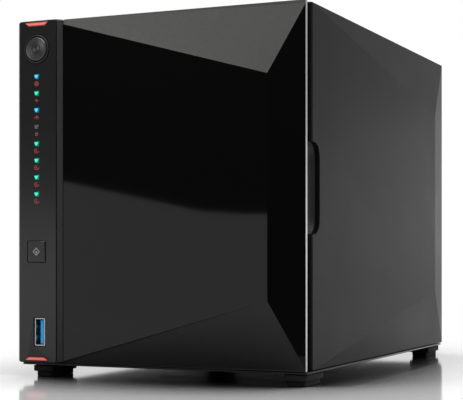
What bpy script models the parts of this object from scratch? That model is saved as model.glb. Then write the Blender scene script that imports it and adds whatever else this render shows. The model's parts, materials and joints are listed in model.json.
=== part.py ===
"""A four-bay network storage enclosure: chassis, trays, fan, boards and a magnetic front cover.

The frame is +Z up, +X to the right of someone facing the front, and the front looks along -Y.
The origin is the middle of the foot print, on the table. Everything is in metres.
"""

import math

import bmesh
import bpy

# ---- driving dimensions -------------------------------------------------------------------
SIDE_BULGE = 0.003       # how far the folds of each side wall stand out
BODY_HEIGHT = 0.165
FOOT_HEIGHT = 0.0055
SHELL_LENGTH = 0.218     # front edge of the side walls to the back of the enclosure
COVER_STANDOFF = 0.005   # front cover's rim ahead of the side walls' front edge
RIDGE_RISE = 0.008       # front cover's ridge ahead of its rim

SHELL_WALL = 0.0018
BASE_THICK = 0.0010
SHEET = 0.0012           # steel sheet of the cage and the rear panel
REAR_RECESS = 0.0023
GAP = 0.0003             # between pieces that rest on one another
SLIDE_GAP = 0.0005       # beside pieces that move

SIDE_FOLD_SETBACK = 0.192   # side wall's fold behind the wall's front edge
SIDE_FOLD_END = 0.0325      # the folds' distance from the top and the bottom
NOTCH_HEIGHT = 0.041
NOTCH_DEPTH = 0.010
NOTCH_RADIUS = 0.0065
NOTCH_ROOM = 0.0056         # beside the cage, for the cup behind the finger notch
CUP_FLOOR = 0.0008

COLUMN_WIDTH = 0.0238
COLUMN_PROUD = 0.003        # the control column ahead of the cover's rim
COLUMN_WALL = 0.0016
FASCIA_THICK = 0.0012
FASCIA_PROUD = 0.0003
FASCIA_MARGIN = 0.0014
FASCIA_BEVEL = 0.0020       # bare edge of the column on the cover's side

COVER_GAP = 0.0004          # cover to column
COVER_RIM = 0.0020          # thickness of the cover's edge
COVER_WALL = 0.0022
COVER_INSET = 0.0008        # cover inside the right-hand wall's outer face
RIDGE_FROM_EDGE = 0.0150
RIDGE_END = 0.0325
LINER_THICK = 0.0015
LINER_INSET = 0.0015
LINER_WIDTH = 0.0085
MAGNET_RADIUS = 0.003
MAGNET_SHIFT = 0.004        # magnets towards the middle from the liner's corners

BUTTON_RADIUS = 0.0056
BUTTON_RING = 0.0010        # width of the ring round the power button
BUTTON_CLEAR = 0.00025
BUTTON_FROM_TOP = 0.0138
BUTTON_TRAVEL = 0.0010
COPY_SIZE = 0.0100
COPY_TRAVEL = 0.0008
COPY_HEIGHT = 0.0544        # copy button's centre above the base
LAMP_COUNT = 8
LAMP_PITCH = 0.00803
LAMP_FROM_TOP = 0.0269
LAMP_WIDTH = 0.0026
LAMP_TALL = 0.0021
USB_TALL = 0.0132
USB_WIDE = 0.0057
USB_WALL = 0.0005
USB_DEEP = 0.0105
USB_HEIGHT = 0.0160         # front port's centre above the base
TONGUE_THICK = 0.0018
TONGUE_CLEAR = 0.00045      # beside the tongue, inside the port
TONGUE_END = 0.0010         # beyond the tongue's ends
ACCENT_LONG = 0.0127
ACCENT_SHORT = 0.0093
ACCENT_TALL = 0.0019
ACCENT_EDGE = 0.0009

BAY_COUNT = 4
BAY_GAP = 0.0018            # between neighbouring trays
DRIVE_THICK = 0.0261
DRIVE_TALL = 0.1016
DRIVE_LONG = 0.147
TRAY_CLEAR = 0.0005         # a tray's width beyond the drive's
TRAY_RAIL = 0.0040
TRAY_FRONT_TALL = 0.140
TRAY_FRONT_DEEP = 0.0080
RACK_THICK = 0.0016
RACK_RIB = 0.0032
CAGE_WINDOWS = (0.1174, 0.0574, 0.0274)   # side windows ahead of the cage's rear edge
CAGE_WINDOW_HALF = 0.009
CAGE_WINDOW_PITCH = 0.030
HANDLE_THICK = 0.0050
CHEEK = 0.0022              # tray front's wall on each side of its handle
HANDLE_PIN = 0.0012
HANDLE_LIFT = 0.0050        # handle's hinge above the tray front's lower end
CHANNEL_END = 0.0015        # tray front left above and below its handle's channel
GRIP_HALF = 0.0065          # fingertip window near the handle's top
GRIP_TALL = 0.0140
GRIP_FROM_TOP = 0.0100
FRAME_DEEP = 0.0030
VENT_ROWS = 2               # vent slots above and below the middle one
VENT_PITCH = 0.0140
VENT_HALF = 0.0065

FAN_SIZE = 0.120
FAN_DEEP = 0.025
FAN_EDGE = 0.0028           # fan frame beside its bore
FAN_HUB = 0.0190
FAN_TIP_CLEAR = 0.0015
FAN_SHAFT = 0.0020
BLADES = 7
BLADE_PITCH = 38.0          # degrees
BLADE_THICK = 0.0012
BLADE_ROOT = 0.0075         # half the blade's width at the hub
BLADE_TIP = 0.0130
GRILLE_PITCH = 0.0125
GRILLE_HOLE = 0.0056

BOARD = 0.0016
BOARD_STANDOFF = 0.0028
BOARD_BESIDE = 0.0974       # main board alongside the cage
STANDOFFS = (0.0824, 0.0074)   # ahead of the cage's rear edge
SINK_PLACE = 0.070          # heat sink's rear end behind the board's front edge
SINK_FINS = 8
SINK_PITCH = 0.0053
SINK_FIN = 0.0020
MEMORY_PLACE = 0.085
CELL_PLACE = 0.045
CELL_RADIUS = 0.0100
PORT_RISE = 0.0137          # height of a port block off its board
LAN_LONG = 0.0160
USB_BLOCK_LONG = 0.0148
JACK_LONG = 0.0112
PORT_DEEP = 0.0210
PORT_PROUD = 0.0006

FOOT_WIDE = 0.0115
FOOT_LONG = 0.0230
FOOT_STEP = 0.0012
FOOT_LOWER = 0.0024
FOOT_LEFT_INSET = 0.0060
FOOT_RIGHT_INSET = 0.0008
FOOT_END_INSET = 0.0010

SCREW_HEAD = 0.0032
SCREW_SHANK = 0.0015
SCREW_LONG = 0.0070
BOSS = 0.0080

EDGE_ROUND = 0.0011         # bevel along the shell's outer edges
FACET_LEFT = 0.0008         # cover's left edge ahead of its rim
FACET_CORNERS = (0.0024, 0.0010, 0.0016, 0.0006)   # facet corners in from the cover's corners
PAST = 0.001                # how far a cutter runs past what it cuts
FAR_PAST = 0.010

# ---- places worked out from them ----------------------------------------------------------
TRAY_SIDE = DRIVE_THICK + TRAY_CLEAR
BAY_PITCH = TRAY_SIDE + BAY_GAP
CAGE_WIDTH = BAY_COUNT * BAY_PITCH + GAP + 2 * SHEET
WIDTH = COLUMN_WIDTH + SLIDE_GAP + CAGE_WIDTH + NOTCH_ROOM + SHELL_WALL

DEPTH = RIDGE_RISE + COVER_STANDOFF + SHELL_LENGTH
Y_BACK = DEPTH / 2
Y_SHELL = Y_BACK - SHELL_LENGTH
Y_RIM = Y_SHELL - COVER_STANDOFF
Y_RIDGE = Y_RIM - RIDGE_RISE
Z_BASE = FOOT_HEIGHT
Z_FLOOR = Z_BASE + BASE_THICK
Z_LOW = Z_FLOOR + GAP
Z_TOP = FOOT_HEIGHT + BODY_HEIGHT
Z_MID = (Z_BASE + Z_TOP) / 2
X_WALL = WIDTH / 2 - SHELL_WALL
Z_CEILING = Z_TOP - SHELL_WALL
Y_PANEL = Y_BACK - REAR_RECESS - SHEET

X_COLUMN = -WIDTH / 2 + COLUMN_WIDTH
Y_COLUMN = Y_RIM - COLUMN_PROUD
Y_COLUMN_END = Y_SHELL - GAP
X_CONTROLS = (-WIDTH / 2 + X_COLUMN - FASCIA_BEVEL) / 2
Z_BUTTON = Z_TOP - BUTTON_FROM_TOP
Z_COPY = Z_BASE + COPY_HEIGHT
Z_USB = Z_BASE + USB_HEIGHT
X_USB = X_CONTROLS + 0.0014
FASCIA_BACK = Y_COLUMN + FASCIA_THICK

X_COVER = X_COLUMN + COVER_GAP
X_COVER_END = WIDTH / 2 - COVER_INSET
Y_COVER_BACK = Y_RIM + COVER_RIM
X_RIDGE = X_COVER_END - RIDGE_FROM_EDGE

X_CAGE = X_COLUMN + SLIDE_GAP
X_BAYS = X_CAGE + SHEET
X_BAYS_END = X_BAYS + BAY_COUNT * BAY_PITCH + GAP
X_CAGE_END = X_BAYS_END + SHEET
X_BAY_MID = (X_BAYS + X_BAYS_END) / 2
Y_FRAME = Y_COVER_BACK + GAP + LINER_THICK + GAP
Y_CAGE = Y_FRAME + FRAME_DEEP + GAP
HANDLE_WIDE = TRAY_SIDE - 2 * (CHEEK + GAP)
TRAY_HALF = DRIVE_TALL / 2 + SLIDE_GAP + TRAY_RAIL
RACK_FACE = TRAY_HALF + SLIDE_GAP
SHELF = RACK_FACE + RACK_THICK + GAP
Y_TRAY = Y_FRAME + GAP
Y_TRAY_BACK = Y_TRAY + TRAY_FRONT_DEEP
Y_RAIL_END = Y_TRAY_BACK + DRIVE_LONG + 0.002
Y_CAGE_END = Y_RAIL_END + 0.0085
Y_BACKPLANE = Y_CAGE_END + GAP
Y_HINGE = Y_TRAY + HANDLE_THICK / 2 + GAP
Z_TRAY_LOW = Z_MID - TRAY_FRONT_TALL / 2
Z_HINGE = Z_TRAY_LOW + HANDLE_LIFT

X_FAN = (X_CAGE + X_WALL) / 2
FAN_BORE = FAN_SIZE / 2 - FAN_EDGE
Y_FAN = Y_PANEL - GAP - FAN_DEEP
X_BOARD = X_CAGE - BOARD_STANDOFF - GAP
Y_BOARD = Y_CAGE_END - BOARD_BESIDE
X_BOARD_FACE = X_BOARD - BOARD
X_CHIPS = X_BOARD_FACE - GAP       # where parts on the main board stand
Z_LAN = (Z_MID + 0.036, Z_MID + 0.017)
Z_REAR_USB = Z_MID - 0.003
Z_JACK = Z_MID - 0.022

CIRCLE = 32


# ---- helpers ------------------------------------------------------------------------------
def clear_scene():
    for old in list(bpy.data.objects):
        bpy.data.objects.remove(old)


def finish(name, colour, roughness, metallic=0.0):
    """One Principled material."""
    material = bpy.data.materials.new(name)
    material.use_nodes = True
    shader = material.node_tree.nodes["Principled BSDF"]
    shader.inputs["Base Color"].default_value = (*colour, 1.0)
    shader.inputs["Roughness"].default_value = roughness
    shader.inputs["Metallic"].default_value = metallic
    return material


def add_box(mesh, low, high):
    """A cuboid between two corners."""
    corners = []
    for z in (low[2], high[2]):
        for y in (low[1], high[1]):
            for x in (low[0], high[0]):
                corners.append(mesh.verts.new((x, y, z)))
    for face in ((0, 2, 3, 1), (4, 5, 7, 6), (0, 1, 5, 4), (2, 6, 7, 3), (0, 4, 6, 2), (1, 3, 7, 5)):
        mesh.faces.new([corners[i] for i in face])


def lift(axis, along, first, second):
    """A point given by its place along an axis and its two other coordinates, in X, Y, Z order."""
    if axis == "X":
        return (along, first, second)
    if axis == "Y":
        return (first, along, second)
    return (first, second, along)


def add_loft(mesh, axis, rings):
    """A closed solid through outlines of equal length: rings holds (along, outline) pairs."""
    loops = []
    for along, outline in rings:
        loops.append([mesh.verts.new(lift(axis, along, a, b)) for a, b in outline])
    count = len(loops[0])
    for near, far in zip(loops, loops[1:]):
        for i in range(count):
            j = (i + 1) % count
            mesh.faces.new((near[i], near[j], far[j], far[i]))
    mesh.faces.new(loops[0])
    mesh.faces.new(list(reversed(loops[-1])))


def add_prism(mesh, axis, outline, start, end):
    add_loft(mesh, axis, [(start, outline), (end, outline)])


def ring(cx, cz, radius, count=CIRCLE, turn=0.0):
    """Points round a circle."""
    step = 2 * math.pi / count
    return [(cx + radius * math.cos(turn + i * step), cz + radius * math.sin(turn + i * step))
            for i in range(count)]


def rounded(a0, a1, b0, b1, radius, steps=3):
    """A rectangle with round corners, as points."""
    points = []
    corners = ((a1 - radius, b1 - radius, 0), (a0 + radius, b1 - radius, 1),
               (a0 + radius, b0 + radius, 2), (a1 - radius, b0 + radius, 3))
    for a, b, quarter in corners:
        for i in range(steps + 1):
            angle = math.pi / 2 * (quarter + i / steps)
            points.append((a + radius * math.cos(angle), b + radius * math.sin(angle)))
    return points


def add_rod(mesh, axis, centre, radius, start, end, count=CIRCLE):
    add_prism(mesh, axis, ring(centre[0], centre[1], radius, count), start, end)


def place(name, mesh, material=None, origin=(0.0, 0.0, 0.0)):
    """Turns a bmesh in world coordinates into an object whose origin is where it is wanted."""
    bmesh.ops.recalc_face_normals(mesh, faces=mesh.faces)
    bmesh.ops.translate(mesh, verts=mesh.verts, vec=[-value for value in origin])
    data = bpy.data.meshes.new(name)
    mesh.to_mesh(data)
    mesh.free()
    piece = bpy.data.objects.new(name, data)
    piece.location = origin
    bpy.context.scene.collection.objects.link(piece)
    if material:
        data.materials.append(material)
    return piece


def combine(piece, operation, tool_mesh):
    """Adds to or cuts from a piece with a hidden helper."""
    tool = place(piece.name + "_" + operation.lower(), tool_mesh)
    tool.hide_render = True
    tool.hide_set(True)
    tool.display_type = "WIRE"
    modifier = piece.modifiers.new(operation.title(), "BOOLEAN")
    modifier.operation = operation
    modifier.object = tool
    modifier.use_self = True


def solid(name, material, build, extra=None, cuts=None, origin=(0.0, 0.0, 0.0)):
    """A piece from its own shape, what is joined to it, and what is cut from it."""
    mesh = bmesh.new()
    build(mesh)
    piece = place(name, mesh, material, origin)
    for operation, maker in (("UNION", extra), ("DIFFERENCE", cuts)):
        if maker:
            helper = bmesh.new()
            maker(helper)
            combine(piece, operation, helper)
    return piece


def smooth(piece):
    piece.data.shade_smooth()
    piece.data.set_sharp_from_angle(angle=math.radians(35))


def joint_origin(name, origin, parent=None):
    """An empty on a joint's axis; the pieces that move together hang under it."""
    empty = bpy.data.objects.new(name, None)
    bpy.context.scene.collection.objects.link(empty)
    empty.location = origin
    if parent:
        attach(empty, parent)
    return empty


def attach(piece, parent):
    """Parents a piece without moving it in the world."""
    bpy.context.view_layer.update()
    piece.parent = parent
    piece.matrix_parent_inverse = parent.matrix_world.inverted()


# ---- materials ----------------------------------------------------------------------------
def make_materials():
    return {
        "side_plastic": finish("side_plastic", (0.050, 0.050, 0.050), 0.55),
        "column_plastic": finish("column_plastic", (0.035, 0.035, 0.036), 0.45),
        "inner_plastic": finish("inner_plastic", (0.020, 0.020, 0.021), 0.60),
        "gloss_black": finish("gloss_black", (0.004, 0.004, 0.005), 0.05),
        "bright_edge": finish("bright_edge", (0.55, 0.55, 0.56), 0.30, 1.0),
        "steel": finish("steel", (0.48, 0.49, 0.50), 0.35, 1.0),
        "spun_metal": finish("spun_metal", (0.42, 0.42, 0.43), 0.30, 1.0),
        "aluminium": finish("aluminium", (0.62, 0.63, 0.64), 0.35, 1.0),
        "red_accent": finish("red_accent", (0.75, 0.10, 0.08), 0.30),
        "lamp": finish("lamp", (0.70, 0.85, 0.90), 0.20),
        "board_green": finish("board_green", (0.020, 0.110, 0.045), 0.50),
        "socket_black": finish("socket_black", (0.015, 0.015, 0.016), 0.50),
        "port_blue": finish("port_blue", (0.020, 0.120, 0.550), 0.40),
        "rubber": finish("rubber", (0.012, 0.012, 0.012), 0.85),
        "magnet": finish("magnet", (0.50, 0.50, 0.51), 0.25, 1.0),
    }


# ---- shell, base and rear -----------------------------------------------------------------
def side_wall_blank(mesh):
    """The whole outside of the shell: a box whose two sides fold outwards to short vertical ridges."""
    half = WIDTH / 2
    y_fold = Y_SHELL + SIDE_FOLD_SETBACK
    high = Z_TOP - SIDE_FOLD_END
    low = Z_BASE + SIDE_FOLD_END
    box = {}
    for side in (-1, 1):
        for y in (Y_SHELL, Y_BACK):
            for z in (Z_LOW, Z_TOP):
                box[side, y, z] = mesh.verts.new((side * half, y, z))
        upper = mesh.verts.new((side * (half + SIDE_BULGE), y_fold, high))
        lower = mesh.verts.new((side * (half + SIDE_BULGE), y_fold, low))
        around = ((Y_SHELL, Z_LOW), (Y_BACK, Z_LOW), (Y_BACK, Z_TOP), (Y_SHELL, Z_TOP))
        corner = [box[side, y, z] for y, z in around]
        mesh.faces.new((corner[0], lower, upper, corner[3]))
        mesh.faces.new((corner[3], upper, corner[2]))
        mesh.faces.new((corner[0], corner[1], lower))
        mesh.faces.new((corner[1], corner[2], upper, lower))
    for y in (Y_SHELL, Y_BACK):
        mesh.faces.new((box[-1, y, Z_LOW], box[1, y, Z_LOW], box[1, y, Z_TOP], box[-1, y, Z_TOP]))
    for z in (Z_LOW, Z_TOP):
        mesh.faces.new((box[-1, Y_SHELL, z], box[1, Y_SHELL, z], box[1, Y_BACK, z], box[-1, Y_BACK, z]))


def notch_outline(shrink=0.0):
    """The finger notch seen from the side, as (y, z) points; shrink draws its edge inwards."""
    low = Z_MID - NOTCH_HEIGHT / 2 + shrink
    high = Z_MID + NOTCH_HEIGHT / 2 - shrink
    deep = Y_SHELL + NOTCH_DEPTH - shrink
    front = Y_FRAME - 0.004
    radius = NOTCH_RADIUS
    points = [(front, high), (front, low)]
    for cy, cz, quarter in ((deep - radius, low + radius, 3), (deep - radius, high - radius, 0)):
        for i in range(6):
            angle = math.pi / 2 * (quarter + i / 5)
            points.append((cy + radius * math.cos(angle), cz + radius * math.sin(angle)))
    return points


def screw_places():
    """Centres (x, z) of the four thumb screws at the back."""
    inset = BOSS / 2 + GAP
    heights = (Z_LOW + inset + GAP, Z_CEILING - inset)
    return [(side * (X_WALL - inset), z) for side in (-1, 1) for z in heights]


def make_shell(materials):
    def joined(mesh):
        for x, z in screw_places():
            side = math.copysign(1, x)
            end = side * (X_WALL + SHELL_WALL / 2)
            inner = x - side * BOSS / 2
            low = (min(inner, end), Y_PANEL - GAP - BOSS, z - BOSS / 2)
            high = (max(inner, end), Y_PANEL - GAP, z + BOSS / 2)
            add_box(mesh, low, high)

    def hollow(mesh):
        low = (-X_WALL, Y_SHELL - FAR_PAST, Z_BASE - FAR_PAST)
        add_box(mesh, low, (X_WALL, Y_BACK + FAR_PAST, Z_CEILING))

    def holes(mesh):
        outer = WIDTH / 2 + SIDE_BULGE
        add_prism(mesh, "X", notch_outline(), X_WALL - PAST, outer)
        for x, z in screw_places():
            start = Y_PANEL - BOSS + 0.0002
            add_rod(mesh, "Y", (x, z), SCREW_SHANK + GAP, start, Y_PANEL, 12)

    mesh = bmesh.new()
    side_wall_blank(mesh)
    shell = place("outer_shell", mesh, materials["side_plastic"])
    bevel = shell.modifiers.new("Bevel", "BEVEL")
    bevel.width = EDGE_ROUND
    bevel.segments = 2
    bevel.angle_limit = math.radians(40)
    for operation, maker in (("DIFFERENCE", hollow), ("UNION", joined)):
        helper = bmesh.new()
        maker(helper)
        combine(shell, operation, helper)
    helper = bmesh.new()
    holes(helper)
    combine(shell, "DIFFERENCE", helper)


def foot_places():
    """Lowest corners (x, y) of the four feet."""
    left = -WIDTH / 2 + FOOT_LEFT_INSET
    right = WIDTH / 2 - FOOT_RIGHT_INSET - FOOT_WIDE
    front = Y_RIM + FOOT_END_INSET
    rear = Y_BACK - FOOT_END_INSET - FOOT_LONG - REAR_RECESS
    return {"left_front": (left, front), "right_front": (right, front),
            "left_rear": (left, rear), "right_rear": (right, rear)}


def make_base(materials):
    half = WIDTH / 2 - 0.0003
    slot_pitch, slot_half, slot_reach = 0.030, 0.003, 0.040

    def plate(mesh):
        outline = rounded(-half, half, Y_RIM + 0.0006, Y_BACK - 0.0006, 0.0012, 3)
        add_prism(mesh, "Z", outline, Z_BASE, Z_FLOOR)

    def slots(mesh):
        for number in range(-2, 3):
            y = number * slot_pitch
            outline = rounded(-slot_reach, slot_reach, y - slot_half, y + slot_half, slot_half * 0.97, 3)
            add_prism(mesh, "Z", outline, Z_BASE - PAST, Z_FLOOR + PAST)

    solid("base_plate", materials["steel"], plate, cuts=slots)
    for name, (x, y) in foot_places().items():
        def foot(mesh, x=x, y=y):
            top = Z_BASE - GAP
            upper = rounded(x, x + FOOT_WIDE, y, y + FOOT_LONG, 0.0015, 3)
            x0, y0 = x + FOOT_STEP, y + FOOT_STEP
            x1, y1 = x + FOOT_WIDE - FOOT_STEP, y + FOOT_LONG - FOOT_STEP
            lower = rounded(x0, x1, y0, y1, 0.0015, 3)
            add_loft(mesh, "Z", [(0.0, lower), (FOOT_LOWER, lower), (FOOT_LOWER, upper), (top, upper)])

        solid("foot_" + name, materials["rubber"], foot)


def grille_holes(mesh):
    """Hexagonal holes on a triangular grid inside the fan's circle."""
    rows = int(FAN_BORE / (GRILLE_PITCH * math.sqrt(3) / 2))
    for row in range(-rows, rows + 1):
        z = Z_MID + row * GRILLE_PITCH * math.sqrt(3) / 2
        shift = 0.5 * (row % 2)
        for column in range(-6, 7):
            x = X_FAN + (column + shift) * GRILLE_PITCH
            if math.hypot(x - X_FAN, z - Z_MID) < FAN_BORE - GRILLE_HOLE:
                add_rod(mesh, "Y", (x, z), GRILLE_HOLE, Y_PANEL - PAST, Y_BACK, 6)


def port_spans():
    """(centre z, length along z) of every port block at the back."""
    spans = [(z, LAN_LONG) for z in Z_LAN]
    spans.append((Z_REAR_USB, USB_BLOCK_LONG))
    spans.append((Z_JACK, JACK_LONG))
    return spans


def make_rear_panel(materials):
    edge = X_WALL - GAP
    clear = 0.0004

    def plate(mesh):
        add_box(mesh, (-edge, Y_PANEL, Z_LOW + GAP), (edge, Y_PANEL + SHEET, Z_CEILING - GAP))

    def holes(mesh):
        grille_holes(mesh)
        for z, length in port_spans():
            low = (X_CHIPS - PORT_RISE - clear, Y_PANEL - PAST, z - length / 2 - clear)
            high = (X_CHIPS + clear, Y_BACK, z + length / 2 + clear)
            add_box(mesh, low, high)
        for x, z in screw_places():
            add_rod(mesh, "Y", (x, z), SCREW_SHANK + GAP, Y_PANEL - PAST, Y_BACK, 12)
        wide, tall = 0.0035, 0.0015
        lock_x, lock_z = -X_WALL + 0.010, Z_BASE + 0.020
        lock = rounded(lock_x - wide, lock_x + wide, lock_z - tall, lock_z + tall, 0.0014, 3)
        add_prism(mesh, "Y", lock, Y_PANEL - PAST, Y_BACK)

    solid("rear_panel", materials["steel"], plate, cuts=holes)
    for number, (x, z) in enumerate(screw_places(), 1):
        def screw(mesh, x=x, z=z):
            face = Y_PANEL + SHEET + GAP
            shank = ring(x, z, SCREW_SHANK, 16)
            head = ring(x, z, SCREW_HEAD, 16)
            top = ring(x, z, SCREW_HEAD - 0.0004, 16)
            add_loft(mesh, "Y", [(face - SCREW_LONG, shank), (face, shank), (face, head),
                                 (Y_BACK - 0.0006, head), (Y_BACK - 0.0002, top)])

        smooth(solid(f"rear_screw_{number}", materials["steel"], screw))


# ---- drive cage ---------------------------------------------------------------------------
def bay_x(number):
    """Middle of bay number 0 to 3."""
    return X_BAY_MID + (number - (BAY_COUNT - 1) / 2) * BAY_PITCH


def standoff_places():
    return [(Y_CAGE_END - ahead, z) for ahead in STANDOFFS for z in (Z_MID - 0.050, Z_MID + 0.060)]


def make_cage(materials):
    y_shelf = Y_TRAY_BACK + PAST

    def blank(mesh):
        add_box(mesh, (X_CAGE, Y_CAGE, Z_LOW), (X_CAGE_END, Y_CAGE_END, Z_CEILING - GAP))

    def joined(mesh):
        for y, z in standoff_places():
            add_rod(mesh, "X", (y, z), 0.0028, X_CAGE - BOARD_STANDOFF, X_CAGE + SHEET / 2, 12)

    def hollow(mesh):
        front, end = Y_CAGE - FAR_PAST, Y_CAGE_END + FAR_PAST
        add_box(mesh, (X_BAYS, y_shelf - PAST, Z_MID - SHELF), (X_BAYS_END, end, Z_MID + SHELF))
        add_box(mesh, (X_BAYS, y_shelf - PAST, Z_LOW - FAR_PAST), (X_BAYS_END, end, Z_MID - SHELF - SHEET))
        add_box(mesh, (X_BAYS, y_shelf - PAST, Z_MID + SHELF + SHEET), (X_BAYS_END, end, Z_TOP))
        add_box(mesh, (X_BAYS, front, Z_LOW - FAR_PAST), (X_BAYS_END, y_shelf, Z_TOP))
        half = CAGE_WINDOW_HALF
        for ahead in CAGE_WINDOWS:
            y = Y_CAGE_END - ahead
            for row in (-1, 0, 1):
                z = Z_MID + row * CAGE_WINDOW_PITCH
                outline = rounded(y - half, y + half, z - half, z + half, 0.004, 2)
                add_prism(mesh, "X", outline, X_CAGE_END - SHEET * 1.5, X_CAGE_END + PAST)

    solid("drive_cage", materials["steel"], blank, extra=joined, cuts=hollow)
    for name, side in (("lower_rail_rack", -1), ("upper_rail_rack", 1)):
        def rack(mesh, side=side):
            """A plate with a rib between neighbouring trays, as one comb outline."""
            face = Z_MID + side * RACK_FACE
            back = face + side * RACK_THICK
            tip = face - side * RACK_RIB
            outline = [(X_BAYS_END - GAP, back), (X_BAYS + GAP, back), (X_BAYS + GAP, face)]
            rib = (BAY_PITCH - TRAY_SIDE) / 2 - SLIDE_GAP
            for i in range(1, BAY_COUNT):
                x = (bay_x(i - 1) + bay_x(i)) / 2
                outline += [(x - rib, face), (x - rib, tip), (x + rib, tip), (x + rib, face)]
            outline.append((X_BAYS_END - GAP, face))
            add_prism(mesh, "Y", outline, y_shelf, Y_CAGE_END)

        solid(name, materials["inner_plastic"], rack)


def make_front_frame(materials):
    x0, x1 = X_CAGE, X_WALL - GAP
    z0, z1 = Z_LOW + GAP, Z_CEILING - GAP
    back = Y_FRAME + FRAME_DEEP
    opening = TRAY_FRONT_TALL / 2 + SLIDE_GAP

    def blank(mesh):
        add_box(mesh, (x0, Y_FRAME, z0), (x1, back, z1))

    def joined(mesh):
        reach = NOTCH_HEIGHT / 2 + 0.003
        cup_front = Y_FRAME + FRAME_DEEP / 2
        cup_back = Y_SHELL + NOTCH_DEPTH + 0.0025
        add_box(mesh, (X_CAGE_END + GAP, cup_front, Z_MID - reach), (x1, cup_back, Z_MID + reach))

    def holes(mesh):
        low = (X_BAYS, Y_FRAME - FAR_PAST, Z_MID - opening)
        add_box(mesh, low, (X_BAYS_END, back + FAR_PAST, Z_MID + opening))
        floor = X_CAGE_END + GAP + CUP_FLOOR
        levels = [(floor, 0.0045), (floor + 0.0008, 0.0028), (floor + 0.0025, 0.0012), (x1 + PAST, 0.0)]
        add_loft(mesh, "X", [(x, notch_outline(shrink)) for x, shrink in levels])

    solid("front_frame", materials["inner_plastic"], blank, extra=joined, cuts=holes)


# ---- trays --------------------------------------------------------------------------------
def vent_slot(x, z):
    """One of the matching vent slots of a tray's front and its handle."""
    return rounded(x - VENT_HALF, x + VENT_HALF, z - 0.0020, z + 0.0020, 0.0019, 2)


def make_tray(number, materials):
    x = bay_x(number)
    half = TRAY_SIDE / 2
    back = Y_TRAY_BACK
    z1 = Z_MID + TRAY_FRONT_TALL / 2
    channel = HANDLE_WIDE / 2 + GAP
    floor = Y_HINGE + HANDLE_THICK / 2 + SLIDE_GAP

    def blank(mesh):
        add_box(mesh, (x - half, Y_TRAY, Z_TRAY_LOW), (x + half, back, z1))

    def joined(mesh):
        for side in (-1, 1):
            inner = Z_MID + side * (TRAY_HALF - TRAY_RAIL)
            outer = Z_MID + side * TRAY_HALF
            low = (x - half, back - PAST, min(inner, outer))
            add_box(mesh, low, (x + half, Y_RAIL_END, max(inner, outer)))

    def holes(mesh):
        low = (x - channel, Y_TRAY - FAR_PAST, Z_TRAY_LOW + CHANNEL_END)
        add_box(mesh, low, (x + channel, floor, z1 - CHANNEL_END))
        for side in (-1, 1):
            pin_end = side * (HANDLE_WIDE / 2 + HANDLE_PIN)
            a, b = sorted((x + side * (channel - PAST), x + pin_end + side * GAP))
            add_rod(mesh, "X", (Y_HINGE, Z_HINGE), HANDLE_PIN + GAP, a, b, 16)
        for i in range(-VENT_ROWS, VENT_ROWS + 1):
            slot = vent_slot(x, Z_MID + i * VENT_PITCH)
            add_prism(mesh, "Y", slot, floor - 0.0005, back + PAST)

    slide = joint_origin(f"tray_slide_{number + 1}_axis", (x, Y_TRAY, Z_MID))
    tray = solid(f"drive_tray_{number + 1}", materials["inner_plastic"], blank, extra=joined, cuts=holes)
    attach(tray, slide)
    make_tray_handle(number, x, z1, slide, materials)


def make_tray_handle(number, x, z_top, slide, materials):
    """A lever that lies in the tray's front channel and turns on two stub pins at its lower end."""
    radius = HANDLE_THICK / 2
    top = z_top - CHANNEL_END - SLIDE_GAP

    def bar(mesh):
        outline = []
        for i in range(13):
            angle = math.pi + math.pi * i / 12
            outline.append((Y_HINGE + radius * math.cos(angle), Z_HINGE + radius * math.sin(angle)))
        outline += [(Y_HINGE + radius, top - 0.004), (Y_HINGE + radius - 0.0015, top),
                    (Y_HINGE - radius, top)]
        add_prism(mesh, "X", outline, x - HANDLE_WIDE / 2, x + HANDLE_WIDE / 2)

    def pins(mesh):
        add_rod(mesh, "X", (Y_HINGE, Z_HINGE), HANDLE_PIN, x - HANDLE_WIDE / 2 - HANDLE_PIN,
                x + HANDLE_WIDE / 2 + HANDLE_PIN, 16)

    def grip(mesh):
        """A window near the top for a fingertip, and vent slots below it."""
        front, rear = Y_HINGE - radius - PAST, Y_HINGE + radius + PAST
        high = top - GRIP_FROM_TOP
        window = rounded(x - GRIP_HALF, x + GRIP_HALF, high - GRIP_TALL, high, 0.003, 4)
        add_prism(mesh, "Y", window, front, rear)
        for i in range(-VENT_ROWS, VENT_ROWS + 1):
            add_prism(mesh, "Y", vent_slot(x, Z_MID + i * VENT_PITCH), front, rear)

    hinge = joint_origin(f"tray_handle_{number + 1}_axis", (x, Y_HINGE, Z_HINGE), slide)
    handle = solid(f"tray_handle_{number + 1}", materials["side_plastic"], bar, extra=pins, cuts=grip,
                   origin=(x, Y_HINGE, Z_HINGE))
    attach(handle, hinge)


# ---- control column -----------------------------------------------------------------------
def accent_outline(centre_z, wide_up):
    """A flat trapezium, its long side outwards."""
    half_tall = ACCENT_TALL / 2
    sign = 1 if wide_up else -1
    return [(X_CONTROLS - ACCENT_SHORT / 2, centre_z - sign * half_tall),
            (X_CONTROLS + ACCENT_SHORT / 2, centre_z - sign * half_tall),
            (X_CONTROLS + ACCENT_LONG / 2, centre_z + sign * half_tall),
            (X_CONTROLS - ACCENT_LONG / 2, centre_z + sign * half_tall)]


def accent_places():
    return {"accent_strip_top": (Z_TOP - ACCENT_EDGE - ACCENT_TALL / 2, True),
            "accent_strip_bottom": (Z_LOW + ACCENT_EDGE + ACCENT_TALL / 2, False)}


def grow(outline, amount):
    """An outline of four corners pushed outwards from its middle."""
    ca = sum(a for a, _ in outline) / len(outline)
    cb = sum(b for _, b in outline) / len(outline)
    return [(a + math.copysign(amount, a - ca), b + math.copysign(amount, b - cb)) for a, b in outline]


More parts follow.
